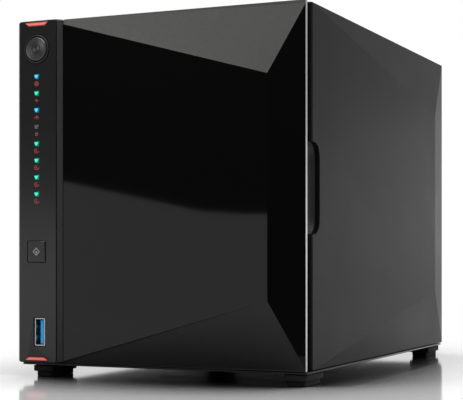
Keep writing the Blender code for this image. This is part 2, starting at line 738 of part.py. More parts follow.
def lamp_outline(number, clear=0.0):
    """A small trapezium, wide side up, for lamp number 0 to 7."""
    z = Z_TOP - LAMP_FROM_TOP - number * LAMP_PITCH
    wide, narrow = LAMP_WIDTH / 2 + clear, LAMP_WIDTH * 0.34 + clear
    tall = LAMP_TALL / 2 + clear
    return [(X_CONTROLS - narrow, z - tall), (X_CONTROLS + narrow, z - tall),
            (X_CONTROLS + wide, z + tall), (X_CONTROLS - wide, z + tall)]


def control_openings(mesh, start, end):
    """What the column and its fascia both leave open for the controls."""
    add_rod(mesh, "Y", (X_CONTROLS, Z_BUTTON), BUTTON_RADIUS + BUTTON_CLEAR + BUTTON_RING + GAP, start, end)
    half = COPY_SIZE / 2 + BUTTON_CLEAR
    key = rounded(X_CONTROLS - half, X_CONTROLS + half, Z_COPY - half, Z_COPY + half, 0.0008, 3)
    add_prism(mesh, "Y", key, start, end)
    for number in range(LAMP_COUNT):
        add_prism(mesh, "Y", lamp_outline(number, 0.00025), start, end)
    wide, tall = USB_WIDE / 2 + GAP, USB_TALL / 2 + GAP
    add_box(mesh, (X_USB - wide, start, Z_USB - tall), (X_USB + wide, end, Z_USB + tall))


def make_column(materials):
    x0, x1 = -WIDTH / 2, X_COLUMN
    z0, z1 = Z_LOW, Z_TOP
    skin = FASCIA_BACK + COLUMN_WALL

    def blank(mesh):
        """The outline of the column from above, its far edge chamfered, lofted upwards with round ends."""
        def plan(inset):
            return [(x0 + inset, Y_COLUMN_END), (x0 + inset, Y_COLUMN + 0.0012 + inset),
                    (x0 + 0.0012 + inset, Y_COLUMN + inset), (x1 - FASCIA_BEVEL - inset, Y_COLUMN + inset),
                    (x1 - inset, Y_COLUMN + 0.0024 + inset), (x1 - inset, Y_COLUMN_END)]

        edge = 0.0006
        full, drawn_in = plan(0.0), plan(edge)
        add_loft(mesh, "Z", [(z0, drawn_in), (z0 + edge, full), (z1 - edge, full), (z1, drawn_in)])

    def cuts(mesh):
        wall = COLUMN_WALL
        add_box(mesh, (x0 + wall, skin, z0 + wall), (x1 - wall, Y_COLUMN_END + PAST, z1 - wall))
        f0, f1, g0, g1 = fascia_edges()
        outline = rounded(f0 - GAP, f1 + GAP, g0 - GAP, g1 + GAP, 0.0012, 3)
        add_prism(mesh, "Y", outline, Y_COLUMN - PAST, FASCIA_BACK + GAP)
        control_openings(mesh, Y_COLUMN, skin + PAST)

    solid("control_column", materials["column_plastic"], blank, cuts=cuts)

    def fascia(mesh):
        f0, f1, g0, g1 = fascia_edges()
        add_prism(mesh, "Y", rounded(f0, f1, g0, g1, 0.0010, 3), Y_COLUMN - FASCIA_PROUD, FASCIA_BACK)

    def fascia_cuts(mesh):
        control_openings(mesh, Y_COLUMN - 2 * PAST, FASCIA_BACK + PAST)
        for z, wide_up in accent_places().values():
            seat = grow(accent_outline(z, wide_up), 0.0002)
            add_prism(mesh, "Y", seat, Y_COLUMN - 2 * PAST, Y_COLUMN + 0.0006)

    solid("column_fascia", materials["column_plastic"], fascia, cuts=fascia_cuts)
    for name, (z, wide_up) in accent_places().items():
        def accent(mesh, z=z, wide_up=wide_up):
            front = Y_COLUMN - FASCIA_PROUD - 0.0002
            add_prism(mesh, "Y", accent_outline(z, wide_up), front, Y_COLUMN + 0.0004)

        solid(name, materials["red_accent"], accent)


def fascia_edges():
    """(x low, x high, z low, z high) of the fascia plate."""
    return (-WIDTH / 2 + FASCIA_MARGIN, X_COLUMN - FASCIA_BEVEL - 0.0002,
            Z_LOW + ACCENT_EDGE / 2, Z_TOP - ACCENT_EDGE / 2)


def make_controls(materials):
    board_face = Y_COLUMN_END - BOARD
    button_front = Y_COLUMN - 0.0012
    radius = BUTTON_RADIUS

    def power(mesh):
        centre = (X_CONTROLS, Z_BUTTON)
        stem_end = board_face - BUTTON_TRAVEL - 0.0008
        rings = [(button_front, radius - 0.0006), (button_front + 0.0003, radius - 0.0001),
                 (button_front + 0.0007, radius), (FASCIA_BACK + 0.0012, radius),
                 (FASCIA_BACK + 0.0012, 0.0020), (stem_end, 0.0020)]
        add_loft(mesh, "Y", [(y, ring(*centre, r, 40)) for y, r in rings])

    axis = joint_origin("power_button_axis", (X_CONTROLS, Y_COLUMN, Z_BUTTON))
    button = solid("power_button", materials["spun_metal"], power, origin=(X_CONTROLS, Y_COLUMN, Z_BUTTON))
    smooth(button)
    attach(button, axis)

    def button_ring(mesh):
        outer = radius + BUTTON_CLEAR + BUTTON_RING
        inner = radius + BUTTON_CLEAR
        section = [(Y_COLUMN - 0.0008, inner + 0.0003), (Y_COLUMN - 0.0008, outer - 0.0003),
                   (Y_COLUMN - 0.0004, outer), (FASCIA_BACK + 0.0020, outer), (FASCIA_BACK + 0.0020, inner)]
        add_tube(mesh, X_CONTROLS, Z_BUTTON, section, 40)

    smooth(solid("power_button_ring", materials["column_plastic"], button_ring))

    def copy(mesh):
        def square(half):
            return rounded(X_CONTROLS - half, X_CONTROLS + half, Z_COPY - half, Z_COPY + half, 0.0007, 3)

        face = Y_COLUMN - FASCIA_PROUD - 0.0003
        plate = square(COPY_SIZE / 2)
        small = square(COPY_SIZE / 2 - 0.0004)
        stem = square(0.0015)
        end = board_face - COPY_TRAVEL - 0.0010
        add_loft(mesh, "Y", [(face, small), (face + 0.0004, plate), (FASCIA_BACK + 0.0010, plate),
                             (FASCIA_BACK + 0.0010, stem), (end, stem)])

    axis = joint_origin("copy_button_axis", (X_CONTROLS, Y_COLUMN, Z_COPY))
    key = solid("copy_button", materials["column_plastic"], copy, origin=(X_CONTROLS, Y_COLUMN, Z_COPY))
    attach(key, axis)

    def comb(mesh):
        """The light guide's bar, behind the column's skin."""
        top = Z_TOP - LAMP_FROM_TOP + LAMP_PITCH / 2
        low = top - LAMP_COUNT * LAMP_PITCH
        skin = FASCIA_BACK + COLUMN_WALL
        add_box(mesh, (X_CONTROLS - 0.0018, skin + GAP, low), (X_CONTROLS + 0.0018, board_face - GAP, top))

    def prongs(mesh):
        for number in range(LAMP_COUNT):
            front = Y_COLUMN - FASCIA_PROUD - 0.0002
            add_prism(mesh, "Y", lamp_outline(number), front, FASCIA_BACK + COLUMN_WALL + PAST)

    solid("light_guide", materials["lamp"], comb, extra=prongs)

    def board(mesh):
        inset = COLUMN_WALL + GAP
        add_box(mesh, (-WIDTH / 2 + inset, board_face, Z_LOW + inset),
                (X_COLUMN - inset, Y_COLUMN_END, Z_TOP - inset))

    def switches(mesh):
        half = 0.003
        for z, tall in ((Z_BUTTON, 0.0006), (Z_COPY, 0.0008)):
            add_box(mesh, (X_CONTROLS - half, board_face - tall, z - half),
                    (X_CONTROLS + half, board_face + 0.0005, z + half))

    def port_hole(mesh):
        wide, tall = USB_WIDE / 2 + GAP, USB_TALL / 2 + GAP
        add_box(mesh, (X_USB - wide, board_face - PAST, Z_USB - tall),
                (X_USB + wide, Y_COLUMN_END + PAST, Z_USB + tall))

    solid("control_board", materials["board_green"], board, extra=switches, cuts=port_hole)
    make_front_usb(materials)


def add_tube(mesh, cx, cz, section, count):
    """A ring-shaped solid about a line along Y: section holds (y, radius) corners of its wall."""
    loops = []
    for y, radius in section:
        loops.append([mesh.verts.new((a, y, b)) for a, b in ring(cx, cz, radius, count)])
    for near, far in zip(loops, loops[1:] + loops[:1]):
        for i in range(count):
            j = (i + 1) % count
            mesh.faces.new((near[i], near[j], far[j], far[i]))


def make_front_usb(materials):
    front = Y_COLUMN + 0.0004
    end = front + USB_DEEP

    def shell(mesh):
        wide, tall = USB_WIDE / 2, USB_TALL / 2
        outline = rounded(X_USB - wide, X_USB + wide, Z_USB - tall, Z_USB + tall, 0.0006, 2)
        add_prism(mesh, "Y", outline, front, end)

    def mouth(mesh):
        wide, tall = USB_WIDE / 2 - USB_WALL, USB_TALL / 2 - USB_WALL
        low = (X_USB - wide, front - PAST, Z_USB - tall)
        add_box(mesh, low, (X_USB + wide, end - USB_WALL, Z_USB + tall))

    solid("front_usb_shell", materials["steel"], shell, cuts=mouth)

    def tongue(mesh):
        x = X_USB + USB_WIDE / 2 - USB_WALL - TONGUE_CLEAR
        tall = USB_TALL / 2 - TONGUE_END
        low = (x - TONGUE_THICK, front + 0.0004, Z_USB - tall)
        add_box(mesh, low, (x, end - USB_WALL - GAP, Z_USB + tall))

    solid("front_usb_tongue", materials["port_blue"], tongue)


# ---- front cover --------------------------------------------------------------------------
def cover_blank(mesh, edge, set_back):
    """A rectangular lid with four flat facets that meet in a short vertical ridge.

    edge draws its outline inwards and set_back moves its facets backwards, for the hollow behind.
    """
    x0, x1 = X_COVER + edge, X_COVER_END - edge
    z0, z1 = Z_LOW + edge, Z_TOP - edge
    rim = Y_RIM + set_back
    back = Y_COVER_BACK + (0.001 if set_back else 0.0)
    left = rim - FACET_LEFT
    left_down, left_up, right_down, right_up = FACET_CORNERS
    corners = [(x0, z0), (x1, z0), (x1, z1), (x0, z1)]
    rear = [mesh.verts.new((x, back, z)) for x, z in corners]
    front = [mesh.verts.new((x, rim, z)) for x, z in corners]
    high = mesh.verts.new((X_RIDGE, Y_RIDGE + set_back, Z_TOP - RIDGE_END))
    low = mesh.verts.new((X_RIDGE, Y_RIDGE + set_back, Z_BASE + RIDGE_END))
    left_high = mesh.verts.new((x0, left, z1 - left_down))
    left_low = mesh.verts.new((x0, left, z0 + left_up))
    right_high = mesh.verts.new((x1, rim, z1 - right_down))
    right_low = mesh.verts.new((x1, rim, z0 + right_up))
    mesh.faces.new(rear)
    mesh.faces.new((rear[0], rear[1], front[1], front[0]))
    mesh.faces.new((rear[1], rear[2], front[2], right_high, right_low, front[1]))
    mesh.faces.new((rear[2], rear[3], front[3], front[2]))
    mesh.faces.new((rear[3], rear[0], front[0], left_low, left_high, front[3]))
    mesh.faces.new((left_high, left_low, low, high))
    mesh.faces.new((high, low, right_low, right_high))
    mesh.faces.new((front[3], left_high, high))
    mesh.faces.new((front[3], high, right_high))
    mesh.faces.new((front[3], right_high, front[2]))
    mesh.faces.new((front[0], low, left_low))
    mesh.faces.new((front[0], right_low, low))
    mesh.faces.new((front[0], front[1], right_low))


def magnet_places():
    """Centres (x, z) of the four magnets, in the liner's corners."""
    inset = LINER_INSET + LINER_WIDTH / 2
    heights = (Z_LOW + inset + MAGNET_SHIFT, Z_TOP - inset - MAGNET_SHIFT)
    return [(x, z) for x in (X_COVER + inset, X_COVER_END - inset) for z in heights]


def make_cover(materials):
    axis = joint_origin("cover_pull_axis", (0.0, Y_RIM, Z_MID))
    mesh = bmesh.new()
    cover_blank(mesh, 0.0, 0.0)
    cover = place("front_cover", mesh, materials["gloss_black"])
    bevel = cover.modifiers.new("Bevel", "BEVEL")
    bevel.width = 0.0004
    bevel.segments = 1
    bevel.angle_limit = math.radians(50)
    helper = bmesh.new()
    cover_blank(helper, COVER_WALL, COVER_WALL)
    combine(cover, "DIFFERENCE", helper)
    attach(cover, axis)

    x0, x1 = X_COVER + LINER_INSET, X_COVER_END - LINER_INSET
    z0, z1 = Z_LOW + LINER_INSET, Z_TOP - LINER_INSET
    front = Y_COVER_BACK + GAP
    back = front + LINER_THICK

    def liner(mesh):
        add_prism(mesh, "Y", rounded(x0, x1, z0, z1, 0.0015, 3), front, back)

    def holes(mesh):
        w = LINER_WIDTH
        add_prism(mesh, "Y", rounded(x0 + w, x1 - w, z0 + w, z1 - w, 0.0030, 3), front - PAST, back + PAST)
        for x, z in magnet_places():
            add_rod(mesh, "Y", (x, z), MAGNET_RADIUS + GAP, front - PAST, back + PAST, 24)

    attach(solid("cover_liner", materials["inner_plastic"], liner, cuts=holes), axis)
    for number, (x, z) in enumerate(magnet_places(), 1):
        def magnet(mesh, x=x, z=z):
            add_rod(mesh, "Y", (x, z), MAGNET_RADIUS, front, back, 24)

        piece = solid(f"cover_magnet_{number}", materials["magnet"], magnet)
        smooth(piece)
        attach(piece, axis)


# ---- fan ----------------------------------------------------------------------------------
def make_fan(materials):
    y0, y1 = Y_FAN, Y_FAN + FAN_DEEP
    hub_front = y0 + 0.0035
    centre = (X_FAN, Z_MID)
    half = FAN_SIZE / 2
    plate = 0.0030

    def frame(mesh):
        outline = rounded(X_FAN - half, X_FAN + half, Z_MID - half, Z_MID + half, 0.006, 3)
        add_prism(mesh, "Y", outline, y0, y1)

    def bore(mesh):
        add_rod(mesh, "Y", centre, FAN_BORE, y0 - PAST, y1 + PAST, 48)

    def spider(mesh):
        """Hub plate and four arms at the fan's rear face."""
        add_rod(mesh, "Y", centre, FAN_HUB, y1 - plate, y1, 24)
        reach = FAN_BORE + 0.0015
        arm = 0.0025
        for quarter in range(4):
            angle = math.pi / 4 + quarter * math.pi / 2
            along = (math.cos(angle), math.sin(angle))
            across = (-along[1], along[0])
            inner = FAN_HUB - 0.003
            outline = []
            for distance, side in ((inner, -1), (reach, -1), (reach, 1), (inner, 1)):
                outline.append((X_FAN + along[0] * distance + across[0] * side * arm,
                                Z_MID + along[1] * distance + across[1] * side * arm))
            add_prism(mesh, "Y", outline, y1 - plate + 0.0002, y1 - 0.0002)

    def shaft_hole(mesh):
        add_rod(mesh, "Y", centre, FAN_SHAFT + GAP, y1 - plate - PAST, y1 - 0.0006, 16)

    mesh = bmesh.new()
    frame(mesh)
    piece = place("fan_frame", mesh, materials["socket_black"])
    for operation, maker in (("DIFFERENCE", bore), ("UNION", spider), ("DIFFERENCE", shaft_hole)):
        helper = bmesh.new()
        maker(helper)
        combine(piece, operation, helper)

    def hub(mesh):
        rings = [(hub_front, FAN_HUB - 0.0012), (hub_front + 0.0008, FAN_HUB), (y1 - plate - 0.0010, FAN_HUB),
                 (y1 - plate - 0.0010, FAN_SHAFT), (y1 - 0.0010, FAN_SHAFT)]
        add_loft(mesh, "Y", [(y, ring(*centre, radius, 28)) for y, radius in rings])

    def blades(mesh):
        for number in range(BLADES):
            add_blade(mesh, 2 * math.pi * number / BLADES, (hub_front + y1 - plate) / 2)

    axis = joint_origin("fan_spin_axis", (X_FAN, (y0 + y1) / 2, Z_MID))
    middle = (X_FAN, (y0 + y1) / 2, Z_MID)
    rotor = solid("fan_rotor", materials["socket_black"], hub, extra=blades, origin=middle)
    attach(rotor, axis)


def add_blade(mesh, angle, y_mid):
    """A thin pitched blade, swept a little, from inside the hub to the tip circle."""
    inner, outer = FAN_HUB - 0.0020, FAN_BORE - FAN_TIP_CLEAR
    stations = 4
    half = BLADE_THICK / 2
    rings = []
    for i in range(stations + 1):
        share = i / stations
        radius = inner + (outer - inner) * share
        pitch = math.radians(BLADE_PITCH * (1.0 - 0.35 * share))
        chord = BLADE_ROOT + (BLADE_TIP - BLADE_ROOT) * share
        turn = angle + 0.25 * share
        points = []
        for along, thick in ((-1, -1), (1, -1), (1, 1), (-1, 1)):
            swing = along * chord * math.cos(pitch) - thick * half * math.sin(pitch)
            rise = along * chord * math.sin(pitch) * 0.9 + thick * half * math.cos(pitch)
            here = turn + math.atan2(swing, radius)
            points.append(mesh.verts.new((X_FAN + radius * math.cos(here), y_mid + rise,
                                          Z_MID + radius * math.sin(here))))
        rings.append(points)
    for near, far in zip(rings, rings[1:]):
        for i in range(4):
            j = (i + 1) % 4
            mesh.faces.new((near[i], near[j], far[j], far[i]))
    mesh.faces.new(rings[0])
    mesh.faces.new(rings[-1])


# ---- boards and sockets -------------------------------------------------------------------
def make_boards(materials):
    def main(mesh):
        low = (X_BOARD_FACE, Y_BOARD, Z_MID - 0.060)
        add_box(mesh, low, (X_BOARD, Y_PANEL - 0.002, Z_MID + 0.070))

    solid("main_board", materials["board_green"], main)

    def sink(mesh):
        """A comb of fins on one base, as one outline seen along Z."""
        root, tip = X_CHIPS - 0.0025, X_CHIPS - 0.0125
        end = Y_BOARD + SINK_PLACE
        outline = [(X_CHIPS, end - (SINK_FINS - 1) * SINK_PITCH - SINK_FIN), (X_CHIPS, end)]
        for i in range(SINK_FINS):
            y = end - i * SINK_PITCH
            outline += [(tip, y), (tip, y - SINK_FIN)]
            if i < SINK_FINS - 1:
                outline += [(root, y - SINK_FIN), (root, y - SINK_PITCH)]
        add_prism(mesh, "Z", outline, Z_MID - 0.012, Z_MID + 0.028)

    solid("cpu_heat_sink", materials["aluminium"], sink)
    start = Y_BOARD + MEMORY_PLACE
    low, high = Z_MID - 0.034, Z_MID + 0.036

    def memory_socket(mesh):
        add_box(mesh, (X_CHIPS - 0.0050, start, low), (X_CHIPS, start + 0.007, high))

    def memory_slot(mesh):
        near = (X_CHIPS - 0.0040, start - PAST, low + 0.0009)
        add_box(mesh, near, (X_CHIPS - 0.0024, start + 0.0055, high - 0.0009))

    solid("memory_socket", materials["socket_black"], memory_socket, cuts=memory_slot)

    def module(mesh):
        near = (X_CHIPS - 0.0037, start - 0.0095, low + 0.0012)
        add_box(mesh, near, (X_CHIPS - 0.0027, start + 0.0052, high - 0.0012))

    solid("memory_module", materials["board_green"], module)

    def cell(mesh):
        side = X_CHIPS - 0.0026
        rings = [(X_CHIPS, CELL_RADIUS), (side, CELL_RADIUS), (side - 0.0006, CELL_RADIUS - 0.0006)]
        y, z = Y_BOARD + CELL_PLACE, Z_MID + 0.050
        add_loft(mesh, "X", [(x, ring(y, z, radius, 28)) for x, radius in rings])

    smooth(solid("coin_cell", materials["steel"], cell))
    make_backplane(materials)
    make_ports(materials)


def make_backplane(materials):
    y0, y1 = Y_BACKPLANE, Y_BACKPLANE + BOARD

    def board(mesh):
        add_box(mesh, (X_BOARD + GAP, y0, Z_MID - 0.055), (X_CAGE_END, y1, Z_MID + 0.055))

    def vents(mesh):
        for number in range(1, BAY_COUNT):
            x = (bay_x(number - 1) + bay_x(number)) / 2
            outline = rounded(x - 0.005, x + 0.005, Z_MID - 0.045, Z_MID + 0.045, 0.0045, 3)
            add_prism(mesh, "Y", outline, y0 - PAST, y1 + PAST)

    solid("backplane_board", materials["board_green"], board, cuts=vents)

    def link(mesh):
        low = (X_BOARD + GAP, y1 + GAP, Z_MID - 0.025)
        add_box(mesh, low, (low[0] + 0.006, low[1] + 0.007, Z_MID + 0.025))

    solid("backplane_socket", materials["socket_black"], link)
    for number in range(BAY_COUNT):
        x = bay_x(number)

        def connector(mesh, x=x):
            """A drive's data and power connector: two tongues on a block."""
            low = (x - 0.0035, y0 - GAP - 0.0035, Z_MID - 0.0450)
            add_box(mesh, low, (x + 0.0035, y0 - GAP, Z_MID - 0.0020))

        def tongue(mesh, x=x):
            for low, high in ((0.0430, 0.0220), (0.0185, 0.0070)):
                near = (x - 0.0007, y0 - 0.0075, Z_MID - low)
                add_box(mesh, near, (x + 0.0007, y0 - 0.0030, Z_MID - high))

        solid(f"drive_connector_{number + 1}", materials["socket_black"], connector, extra=tongue)


def make_ports(materials):
    top = X_CHIPS
    y1 = Y_BACK - REAR_RECESS + PORT_PROUD
    y0 = y1 - PORT_DEEP

    def port_block(mesh, z, length, start):
        add_box(mesh, (top - PORT_RISE, start, z - length / 2), (top, y1, z + length / 2))

    for number, z in enumerate(Z_LAN, 1):
        def block(mesh, z=z):
            port_block(mesh, z, LAN_LONG, y0)

        def mouth(mesh, z=z):
            """A stepped opening: the wide body of a plug and its narrow clip, seen from behind."""
            near, step, far = top - 0.0015, top - 0.0088, top - 0.0105
            wide, clip = 0.0059, 0.0030
            outline = [(near, z - wide), (near, z + wide), (step, z + wide), (step, z + clip),
                       (far, z + clip), (far, z - clip), (step, z - clip), (step, z - wide)]
            add_prism(mesh, "Y", outline, y1 - 0.0125, y1 + PAST)

        solid(f"lan_socket_{number}", materials["steel"], block, cuts=mouth)

    def stack(mesh):
        port_block(mesh, Z_REAR_USB, USB_BLOCK_LONG, y0)

    def mouths(mesh):
        """Two slots, each left as a U round its contact tongue."""
        z, half, tongue = Z_REAR_USB, 0.0062, 0.0056
        for low in (top - 0.0064, top - 0.0131):
            rise, high = low + 0.0018, low + 0.0052
            outline = [(low, z - half), (high, z - half), (high, z + half), (low, z + half),
                       (low, z + tongue), (rise, z + tongue), (rise, z - tongue), (low, z - tongue)]
            add_prism(mesh, "Y", outline, y1 - 0.0110, y1 + PAST)

    solid("rear_usb_stack", materials["steel"], stack, cuts=mouths)

    def jack(mesh):
        port_block(mesh, Z_JACK, JACK_LONG, y0 + 0.004)

    def jack_mouth(mesh):
        """A round hole that leaves a centre pin standing."""
        hole, pin = 0.0033, 0.0011
        front, end = y1 + PAST, y1 - 0.0100
        section = [(front, hole), (end, hole), (end, pin), (front, pin)]
        add_tube(mesh, top - PORT_RISE / 2, Z_JACK, section, 24)

    solid("power_inlet", materials["socket_black"], jack, cuts=jack_mouth)


def main():
    clear_scene()
    materials = make_materials()
    make_shell(materials)
    make_base(materials)
    make_rear_panel(materials)
    make_cage(materials)
    make_front_frame(materials)
    for number in range(BAY_COUNT):
        make_tray(number, materials)
    make_column(materials)
    make_controls(materials)
    make_cover(materials)
    make_fan(materials)
    make_boards(materials)


main()
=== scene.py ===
# %% [markdown]
# # A four-bay network storage enclosure
#
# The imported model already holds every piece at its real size: the shell, the cover, the column of
# controls, the trays, the fan and the boards. This lesson gives those pieces their edges, their
# finishes and the small details that are too fine for the engineering model.
#
# It goes from the outside in: camera and light, the shader helpers, the plastics and metals, the
# control column, the faceted cover, the shell and its feet, the back, and last what is inside.

# %% Load the fixed frame
import json
import math

import bmesh
import bpy
import numpy as np
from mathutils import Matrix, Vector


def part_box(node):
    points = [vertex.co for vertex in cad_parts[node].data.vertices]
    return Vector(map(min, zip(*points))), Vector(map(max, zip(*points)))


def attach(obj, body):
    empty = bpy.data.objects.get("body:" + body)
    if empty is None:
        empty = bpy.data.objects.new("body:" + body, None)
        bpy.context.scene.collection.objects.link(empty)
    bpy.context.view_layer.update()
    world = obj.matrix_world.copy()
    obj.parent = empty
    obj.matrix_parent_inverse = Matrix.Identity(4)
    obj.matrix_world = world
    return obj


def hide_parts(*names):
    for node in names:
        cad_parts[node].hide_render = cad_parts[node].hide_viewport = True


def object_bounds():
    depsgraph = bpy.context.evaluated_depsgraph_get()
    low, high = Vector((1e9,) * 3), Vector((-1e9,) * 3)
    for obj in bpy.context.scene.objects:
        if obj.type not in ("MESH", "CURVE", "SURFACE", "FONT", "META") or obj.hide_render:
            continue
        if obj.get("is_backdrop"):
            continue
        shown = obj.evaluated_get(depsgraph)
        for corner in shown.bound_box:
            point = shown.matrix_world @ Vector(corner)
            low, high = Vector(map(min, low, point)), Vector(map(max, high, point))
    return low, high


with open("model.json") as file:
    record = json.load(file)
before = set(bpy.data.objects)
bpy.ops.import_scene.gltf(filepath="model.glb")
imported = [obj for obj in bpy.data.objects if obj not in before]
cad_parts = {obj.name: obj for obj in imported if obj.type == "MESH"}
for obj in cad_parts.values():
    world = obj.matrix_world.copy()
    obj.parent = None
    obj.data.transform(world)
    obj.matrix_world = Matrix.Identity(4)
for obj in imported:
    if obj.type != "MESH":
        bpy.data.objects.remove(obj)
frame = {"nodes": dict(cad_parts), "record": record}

cad_bounds = [list(corner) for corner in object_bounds()]


# %% Boxes of the frame's pieces
def box(node):
    """Lowest and highest corner of a piece, as two arrays in metres."""
    low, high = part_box(node)
    return np.array(low), np.array(high)


record = frame["record"]
body_of_node = {node: body for body, nodes in record["behaviour"]["bodies"].items() for node in nodes}
ONE_TO_FOUR = range(1, 5)
WHOLE_LOW, WHOLE_HIGH = (np.array(corner) for corner in cad_bounds)
print("whole object, mm:", np.round((WHOLE_HIGH - WHOLE_LOW) * 1000, 1))

# %% [markdown]
# ## Camera
#
# A product picture of a box is taken from low down with a long lens, so that upright edges stay
# upright. The camera here is level and its lens is shifted instead of being tilted, as a technical
# camera does it.

# %% Place the camera
SENSOR = 36.0
FOCAL = 103.6
TURN = math.radians(24.1)
EYE = (0.2821, -0.6543, 0.0578)
RISE = 0.121

lens = bpy.data.cameras.new("studio_lens")
lens.lens = FOCAL
lens.sensor_width = SENSOR
lens.shift_y = RISE
lens.clip_start = 0.02
lens.clip_end = 60.0
camera = bpy.data.objects.new("studio_camera", lens)
camera.location = EYE
camera.rotation_euler = (math.pi / 2, 0.0, TURN)
bpy.context.scene.collection.objects.link(camera)
bpy.context.scene.camera = camera
bpy.context.scene.view_settings.view_transform = "Standard"
print("camera at", EYE, "turned", round(math.degrees(TURN), 1), "degrees")

# %% [markdown]
# ## Shader maths written as expressions
#
# A shader is a net of small nodes, and a net is hard to read as text. The `Field` class below wraps
# an output socket, so that `1 - mask * 0.5` adds the Math nodes for it. `Net` has one method for
# every other node, and `Finish` starts a material in one.


# %% Field, a number that varies
class Field:
    """The output of a node as a number; every operator adds one Math node to the net."""

    def __init__(self, net, socket):
        self.net = net
        self.socket = socket

    def _math(self, operation, other=None, swap=False):
        """Operation on this field and the other value; swap puts the other value first."""
        values = [self] if other is None else [other, self] if swap else [self, other]
        node = self.net.node("ShaderNodeMath", {"operation": operation}, dict(enumerate(values)))
        return Field(self.net, node.outputs[0])

    def __add__(self, other):
        return self._math("ADD", other)

    def __sub__(self, other):
        return self._math("SUBTRACT", other)

    def __rsub__(self, other):
        return self._math("SUBTRACT", other, swap=True)

    def __mul__(self, other):
        return self._math("MULTIPLY", other)

    def __truediv__(self, other):
        return self._math("DIVIDE", other)

    def __gt__(self, other):
        return self._math("GREATER_THAN", other)

    def __lt__(self, other):
        return self._math("LESS_THAN", other)

    def __pow__(self, other):
        return self._math("POWER", other)

    __radd__ = __add__
    __rmul__ = __mul__

    def larger(self, other):
        """The larger of two fields."""
        return self._math("MAXIMUM", other)

    def angle_over(self, other):
        """The angle whose rise is this field and whose run is the other."""
        return self._math("ARCTAN2", other)

    def wave(self):
        """Sine of the value."""
        return self._math("SINE")

    def ramp(self, low, high):
        """0 below low, 1 above high, smooth between."""
        node = self.net.node("ShaderNodeMapRange", {"interpolation_type": "SMOOTHSTEP"},
                             {0: self, 1: low, 2: high, 3: 0.0, 4: 1.0})
        return Field(self.net, node.outputs[0])

    def between(self, low, high):
        """1 where the value lies between two numbers, otherwise 0."""
        return (self > low) * (self < high)


# %% Net and Finish, where the nodes go
class Net:
    """Any shader tree, with the one method that adds nodes to it."""

    def __init__(self, tree):
        self.tree = tree

    def node(self, kind, settings=None, sockets=None):
        """Adds a node, sets its settings, then its sockets by name or number."""
        made = self.tree.nodes.new(kind)
        for key, value in (settings or {}).items():
            setattr(made, key, value)
        for key, value in (sockets or {}).items():
            self.feed(made.inputs[key], value)
        return made

    def feed(self, socket, value):
        """Links a field or an output to a socket, or sets a plain value on it."""
        if isinstance(value, Field):
            value = value.socket
        if isinstance(value, bpy.types.NodeSocket):
            self.tree.links.new(value, socket)
        else:
            socket.default_value = value


class Finish(Net):
    """A Principled material: plain values are set on its shader, fields are linked to it."""

    def __init__(self, name, colour, roughness, metallic=0.0, specular=0.5, coat=0.0, coat_roughness=0.03):
        self.material = bpy.data.materials.new(name)
        self.material.use_nodes = True
        super().__init__(self.material.node_tree)
        self.shader = self.tree.nodes["Principled BSDF"]
        values = {"Base Color": (*colour, 1.0), "Roughness": roughness, "Metallic": metallic,
                  "Specular IOR Level": specular, "Coat Weight": coat, "Coat Roughness": coat_roughness}
        for socket, value in values.items():
            self.set(socket, value)
        self.place = self.node("ShaderNodeTexCoord").outputs["Object"]
        print("finish:", name)

    def set(self, name, value):
        """Feeds one of the shader's own sockets."""
        self.feed(self.shader.inputs[name], value)

    def noise(self, scale, detail=2.0, vector=None):
        """Cloudy noise with about `scale` blobs a metre."""
        made = self.node("ShaderNodeTexNoise", None,
                         {"Vector": vector or self.place, "Scale": scale, "Detail": detail})
        return Field(self, made.outputs["Fac"])

    def cells(self, scale):
        """(distance to the nearest cell's middle, the cell's random grey)."""
        made = self.node("ShaderNodeTexVoronoi", None, {"Vector": self.place, "Scale": scale})
        grey = self.node("ShaderNodeSeparateColor", None, {0: made.outputs["Color"]})
        return Field(self, made.outputs["Distance"]), Field(self, grey.outputs[0])

    def axes(self):
        """X, Y and Z of the place on the surface, as three fields."""
        made = self.node("ShaderNodeSeparateXYZ", None, {0: self.place})
        return [Field(self, output) for output in made.outputs]

    def mix(self, factor, *colours):
        """A colour that goes from the first to the second; each is (r, g, b) or another mix."""
        first, second = (one if isinstance(one, bpy.types.NodeSocket) else (*one, 1.0) for one in colours)
        return self.node("ShaderNodeMix", {"data_type": "RGBA"}, {0: factor, 6: first, 7: second}).outputs[2]

    def blend(self, factor, first, second):
        """Sends a mix of two shaders to the material's output."""
        made = self.node("ShaderNodeMixShader", None, {0: factor, 1: first, 2: second})
        self.feed(self.tree.nodes["Material Output"].inputs["Surface"], made.outputs[0])

    def attribute(self, name):
        """A number stored on the piece's own points."""
        made = self.node("ShaderNodeAttribute", {"attribute_name": name})
        return Field(self, made.outputs["Fac"])

    def bump(self, height, depth, strength=1.0):
        """Raises the surface by `depth` metres where height is 1."""
        made = self.node("ShaderNodeBump", None, {"Height": height, "Distance": depth, "Strength": strength})
        self.set("Normal", made.outputs[0])


def scaled(colour, share):
    """A colour made lighter or darker, up to white."""
    return tuple(min(1.0, c * share) for c in colour)


# %% [markdown]
# ## Plastics
#
# The dark parts are all "black plastic", but no two have the same finish. The shell has a fine
# spark-eroded grain that scatters light, the column is satin, the trays are plain matte, and the
# middle of the cover is polished like a piano. The grain is a Voronoi field at the size of real
# mould texture, a third of a millimetre, with slower noise for the slight unevenness of a moulding.


